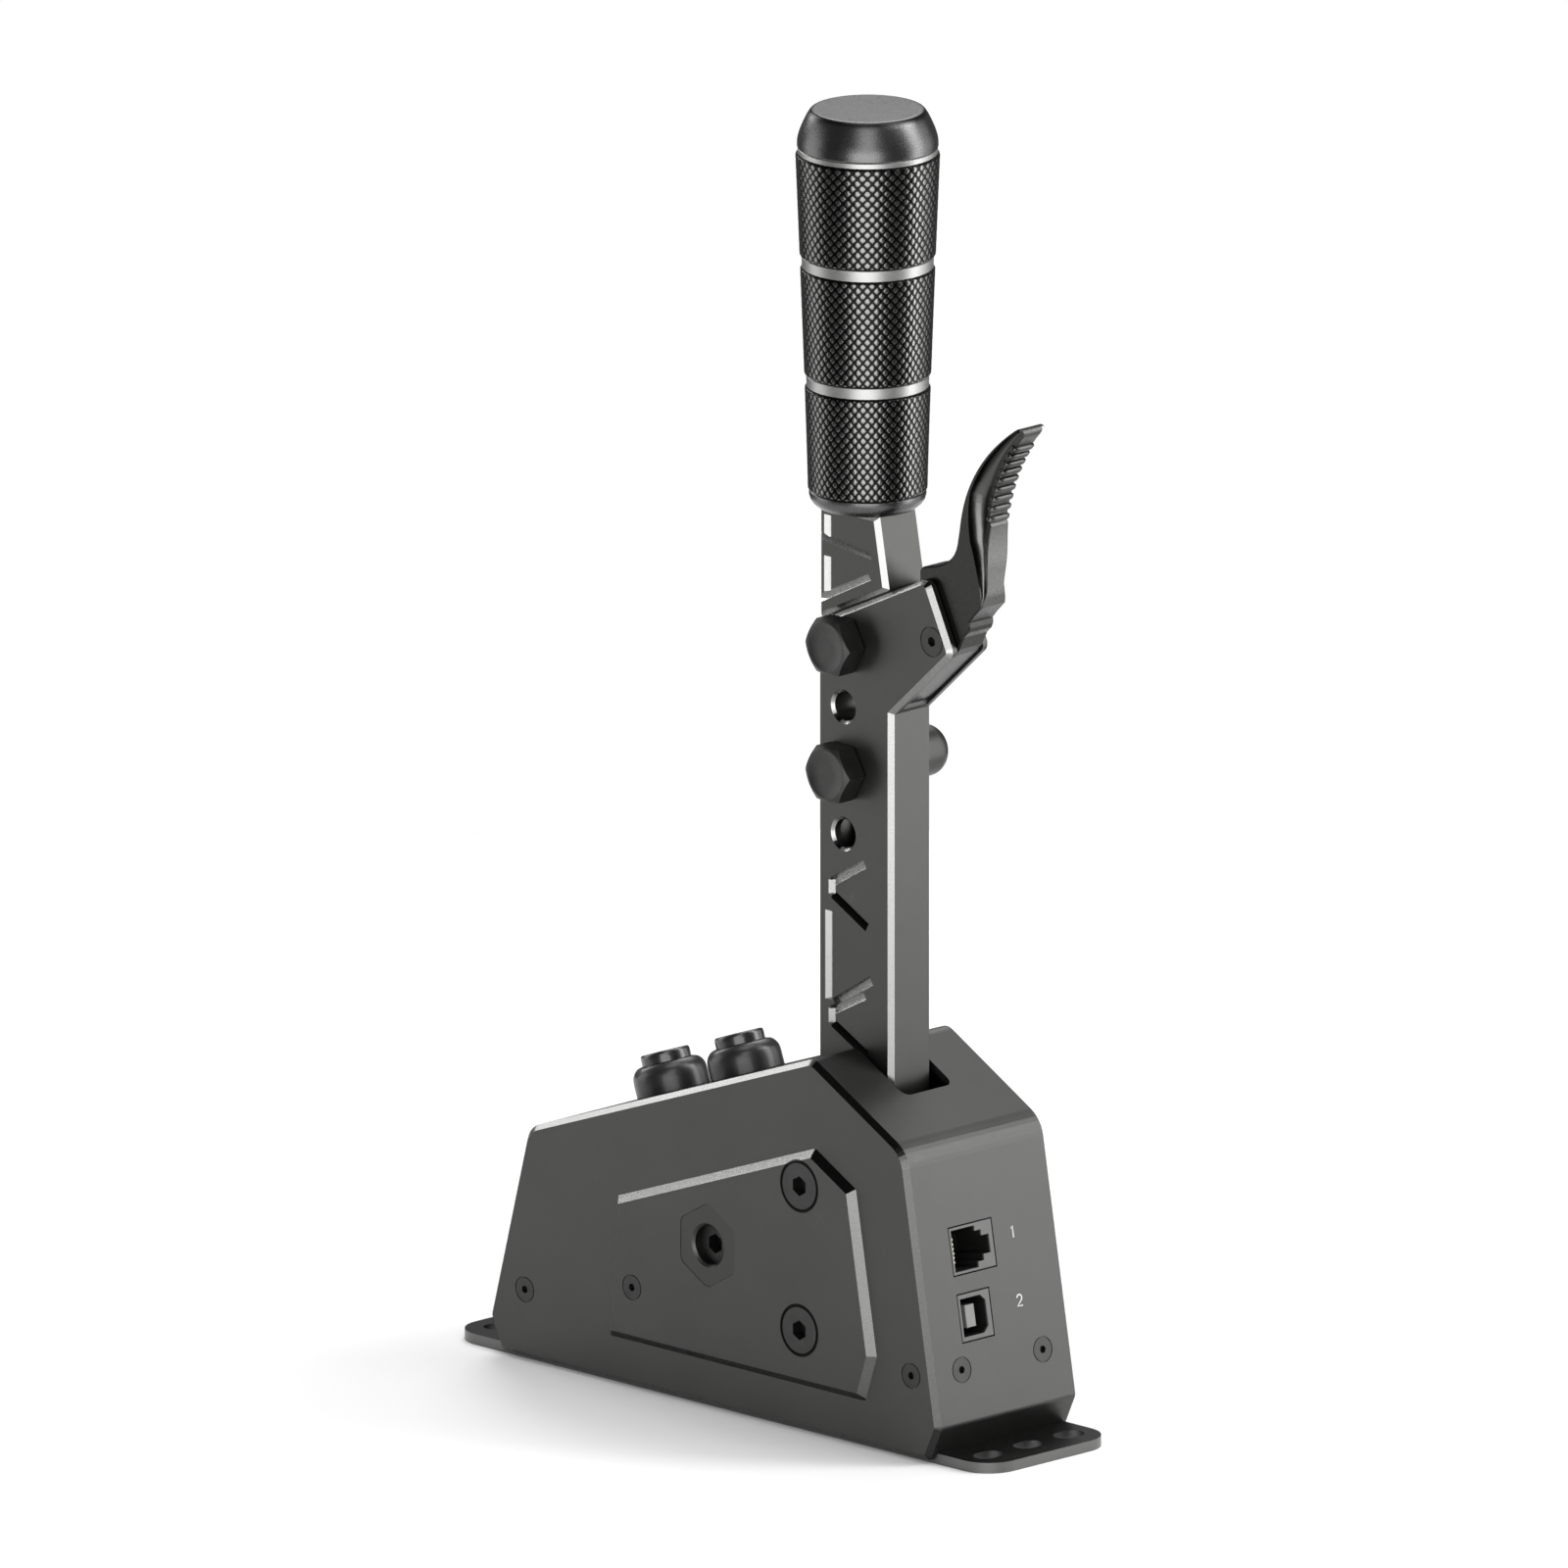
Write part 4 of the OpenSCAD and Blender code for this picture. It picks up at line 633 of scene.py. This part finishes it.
def knurled(name, low, high, node):
    """A sleeve whose outside is lowered between two crossing families of helical grooves. With u counting
    crests round the axis and v up it, a = u + v and b = u - v; the crest falls off with the fourth-power mean
    of the distances of a and b from the nearest whole number."""
    rows, columns = int(round((high - low) / PITCH * FACES_PER_CREST)), FACES_PER_CREST * CRESTS
    z = np.linspace(low, high, rows + 1)[:, None]
    u = np.linspace(0, CRESTS, columns + 1)[None, :]
    a, b = u + (z - low) / PITCH, u - (z - low) / PITCH
    off = (np.abs(a - np.round(a)) ** 4 + np.abs(b - np.round(b)) ** 4) ** 0.25
    crest = np.clip((0.50 - off) / 0.22, 0, 1)
    crest = crest * crest * (3 - 2 * crest)
    edge = np.clip(np.minimum(z - low, high - z) / CHAMFER, 0, 1)
    radius = grip_radius(z) - KNURL_DEPTH * (1 - crest) - CHAMFER * (1 - edge)
    outside = np.stack(np.broadcast_arrays(radius, z), -1)
    inner = [np.broadcast_to((CORE, height), (1, columns + 1, 2)) for height in (low, high, low)]
    line = np.concatenate([inner[0], outside, inner[1], inner[2]])
    crest_wear_and_shade_values = np.concatenate([np.zeros((1, columns + 1)), crest * edge, np.zeros((2, columns + 1))])
    joined(name, [around(line, KNOB, UP, columns)], knurl_black,
           "shift_lever", 50, (node,), crest_wear_and_shade_values)


knurled("grip_upper_knurl", BAND_HIGH + BAND, KNOB_FOOT + GRIP_HEIGHT, "grip_upper")
knurled("grip_middle_knurl", BAND_LOW + BAND, BAND_HIGH, "grip_middle")
knurled("grip_lower_knurl", KNOB_FOOT + FOOT_TAPER, BAND_LOW, "grip_lower")

# Foot of the knob: the smooth turned rim that closes the lowest grip, black anodised. It is turned on
# the same sleeve, below the knurl.
cap_black = anodised("cap_black", (0.097, 0.097, 0.097), 0.28, 1.3, 0.0003)
foot_profile = np.array([(CORE, 0), (0.0137, 0), (0.0150, 0.0011), (0.01575, 0.0022), (0.0161, 0.0034),
                         (0.0161, 0.0044), (0.0158, FOOT_TAPER), (CORE, FOOT_TAPER), (CORE, 0)])
joined("knob_foot", [around(foot_profile + (0, KNOB_FOOT), KNOB, UP)],
       cap_black, "shift_lever", 40)


# Knob cap: one turned piece with a flat top and rounded shoulders, black anodised and polished.
# The narrow round between them is painted darker as painted shade.
def painted_rim_shade(paint, tone):
    """Darker where the surface leans between the shoulder and the flat top: painted shade."""
    z = paint.add("SeparateXYZ", {}, paint.add("TexCoord", {}, out="Normal"), out="Z")
    return paint.blend(z.ramp(0.5, 0.62) * z.ramp(0.995, 0.97), tone, (0.03, 0.03, 0.03))


corner_black = anodised("corner_black", (0.097, 0.097, 0.097), 0.28, 1.3, 0.0003, over=painted_rim_shade)
TOP = 0.0106
top_line = np.concatenate([[(0, 0), (0.0190, 0), (0.01925, 0.0001)],
                           softened([(0.01940, 0.0004), (0.01938, 0.0022), (0.01885, 0.0042),
                                     (0.0180, 0.0063), (0.0172, 0.0080), (0.0165, 0.0093),
                                     (0.0157, 0.0104), (0.0150, TOP), (0.0140, TOP)]),
                           [(0.0100, TOP), (0, TOP)]])
joined("knob_cap_turned", [around(top_line, KNOB + np.array((0, 0, RING_TOP)), UP, 128)], corner_black,
       "shift_lever", 35, ("knob_cap",))


# Finger lever: milled aluminium, black anodised, turning on a screw in the fork. A round cove runs up each
# side of the leaf behind a thin front flange, and nine ribs across the front give the finger a hold.
LEAF_BACK, LEAF_FRONT = ((72.9, 259), (75.2, 277.5), (94.2, 290.4)), ((82.5, 252), (83.3, 274), (95.9, 288))
HALF, COVE_DEPTH, RIBS, RIB_START, RIB_STEP = 4.7, 3.8, 9, 0.268, 0.0775


def bend(a, b, c, t):
    """A curve from a to c that leans towards b: (1 - t)^2 a + 2 t (1 - t) b + t^2 c."""
    a, b, c = map(np.array, (a, b, c))
    return (1 - t)[:, None] ** 2 * a + 2 * (t * (1 - t))[:, None] * b + t[:, None] ** 2 * c


def finger_body():
    """Rungs run from a back line to a front line of the side view, in millimetres as X and Z. On a rung of
    that length the section goes, from the back: a rounded edge, the flat side at HALF, a quarter ellipse sunk
    by deep in the side, the flange at wide, and the front face, which stands proud of the rung below the
    ribs. leaf is how far the cove and the flange reach back from the front. The far half mirrors it."""
    back = [(51.15, 217.5), (57.2, 217.5), (57.8, 218.2), (57.8, 232), (57.8, 244.5), (58.8, 245.4),
            (64.6, 246.9), (66.6, 247.7), (68.2, 248.6), (69.6, 249.7), (70.7, 251.0), (71.6, 252.8),
            (72.2, 254.8)]
    front = [(51.15, 204.7), (53.2, 206.2), (56, 208.6), (66, 217.7), (71.4, 222.6), (73.0, 224.6),
             (74.9, 228.4), (76.6, 230.0), (77.2, 231.4), (76.9, 232.8), (78.7, 234.9), (81.8, 238.0),
             (82.3, 240.9)]
    t = np.linspace(0, 1, 221)
    stations = np.linspace(0, len(back) - 1, 12 * (len(back) - 1) + 1)
    corners = np.arange(len(back))
    lower_back = np.stack([np.interp(stations, corners, np.array(back)[:, k]) for k in (0, 1)], -1)
    lower_front = np.stack([np.interp(stations, corners, np.array(front)[:, k]) for k in (0, 1)], -1)
    join = np.linspace(0, 1, 8)[1:-1, None]
    upper_back, upper_front = bend(*LEAF_BACK, t), bend(*LEAF_FRONT, t)
    tip_back = np.array([(95.2, 291.0), (95.9, 291.3), (96.6, 291.0)])
    tip_front = np.array([(96.6, 288.8), (97.1, 289.6), (97.1, 290.3)])
    b = np.concatenate([lower_back, lower_back[-1] * (1 - join) + upper_back[0] * join, upper_back, tip_back])
    f = np.concatenate([lower_front, lower_front[-1] * (1 - join) + upper_front[0] * join, upper_front,
                        tip_front])
    rung = f - b
    length = np.linalg.norm(rung, axis=1, keepdims=True)
    ahead = rung / length

    heights = [238.0, 239.0, 240.6, 243, 246, 249.4, 252.8, 256.3, 259.7, 263, 267, 272, 277, 281, 285, 288.4,
               290.3]
    leaf = np.interp(f[:, 1], heights, [0.5, 0.6, 1.6, 2.9, 4.2, 5.5, 6.6, 7.3, 7.8, 8.1, 8.2, 8.1, 7.5, 6.5,
                                        4.8, 2.4, 1.0])
    leaf = np.minimum(leaf, 0.86 * length[:, 0])[:, None]
    wide = np.interp(f[:, 1], heights, [4.4, 4.3, 3.7, 3.3, 3.5, 3.8, 4.0, 3.9, 3.6, 3.3, 3.3, 3.3, 3.3, 3.3,
                                        3.3, 3.4, 3.6])[:, None]
    proud = np.interp(f[:, 1], [241, 251, 261.6, 262.2], [0, 0.85, 0.75, 0])[:, None]
    flange = np.minimum(0.9, 0.3 * leaf)
    low = 0.47 * leaf
    deep = np.maximum(HALF - wide, COVE_DEPTH * np.clip(leaf / 7.4, 0, 1))
    rim = np.minimum(0.55, 0.3 * length[:, 0])

    along_side = rim[:, None] + (length - leaf - rim[:, None]) * np.linspace(0, 1, 5)[None, :]
    quarter = np.linspace(0, pi / 2, 13)[None, :]
    along_cove = length - np.concatenate([low + (leaf - low) * np.cos(quarter), flange, flange], 1)
    cove_y = np.concatenate([-HALF + deep * np.sin(quarter), -HALF + deep, -wide], 1)
    face_y = -(wide - 0.2) * (1 - np.linspace(0, 1, 15)[None, :])
    along_face = np.broadcast_to(length + proud, face_y.shape)
    along = np.concatenate([np.zeros((len(b), 1)), along_side, along_cove[:, 1:],
                            length + proud - 0.15 * flange / 0.9, along_face], 1)
    across = np.concatenate([-(HALF - rim)[:, None], np.full_like(along_side, -HALF), cove_y[:, 1:], -wide,
                             face_y], 1)
    along = np.concatenate([along, along[:, -2::-1]], 1)
    across = np.concatenate([across, -across[:, -2::-1]], 1)
    x, z = (b[:, None, k] + ahead[:, None, k] * along for k in (0, 1))
    sheet = np.stack([x, across, z], -1) * 0.001
    sheet = np.concatenate([sheet, sheet[:, :1]], 1)
    ends = [np.broadcast_to(s.mean(0), s.shape)[None] for s in (sheet[0], sheet[-1])]
    return np.concatenate([ends[0], sheet, ends[1]])


def finger_ribs():
    """Bars laid across the front line, reach high and rise wide. The section is squarish, with the radius
    (cos^4 + sin^4)^(-1/4) of its turn, and both ends close as (1 - |y|^5)^(1/2)."""
    place = RIB_START + RIB_STEP * np.arange(RIBS)
    middle = bend(*LEAF_FRONT, place)
    step = bend(*LEAF_FRONT, place + 0.01) - middle
    up = step / np.linalg.norm(step, axis=1, keepdims=True)
    out = np.stack([up[:, 1], -up[:, 0]], -1)
    turn, y = np.linspace(0, 2 * pi, 33)[None, None, :], np.linspace(-1, 1, 33)[None, :, None]
    size = np.sqrt(np.clip(1 - np.abs(y) ** 5, 0, 1))
    square = (np.abs(np.cos(turn)) ** 4 + np.abs(np.sin(turn)) ** 4) ** -0.25
    rise, reach = 1.02 * size * square * np.sin(turn), 1.2 * size * square * np.cos(turn) - 0.3
    x, z = (middle[:, None, None, k] + up[:, None, None, k] * rise + out[:, None, None, k] * reach
            for k in (0, 1))
    return np.stack([x, np.broadcast_to(4.1 * y, x.shape), z], -1) * 0.001


def painted_finger_light(paint, tone):
    """The flat sides, the underside and all below the leaf are painted darker as painted shade. The coves,
    ribs and front face are painted paler as a painted highlight, the coves most, and those less towards the
    tip."""
    y, z = (paint.add("SeparateXYZ", {}, paint.add("TexCoord", {}, out="Normal"), out=axis) for axis in "YZ")
    height = paint.add("SeparateXYZ", {}, paint.place(), out="Z")
    shaded_share = 1 - (1 - abs(y).ramp(0.93, 0.985)) * (1 - z.ramp(-0.35, -0.5)) * (1 - height.ramp(0.2376, 0.2372))
    cove = abs(y).ramp(0.25, 0.4) * (1 - shaded_share) * height.ramp(0.275, 0.262, 0.2, 1)
    return paint.blend(shaded_share, paint.blend(cove, tone, (0.105, 0.105, 0.103)), (0.030, 0.030, 0.029))


# The finger lever's sides are painted dark as painted shade, and its coves, ribs and front pale as a painted
# highlight.
finger_black = anodised("finger_black", (0.067, 0.067, 0.065), 0.28, 1.5, 0.00025, over=painted_finger_light)
joined("finger_lever_milled", [finger_body(), *finger_ribs()], finger_black,
       "finger_paddle", 34, ("finger_lever",))
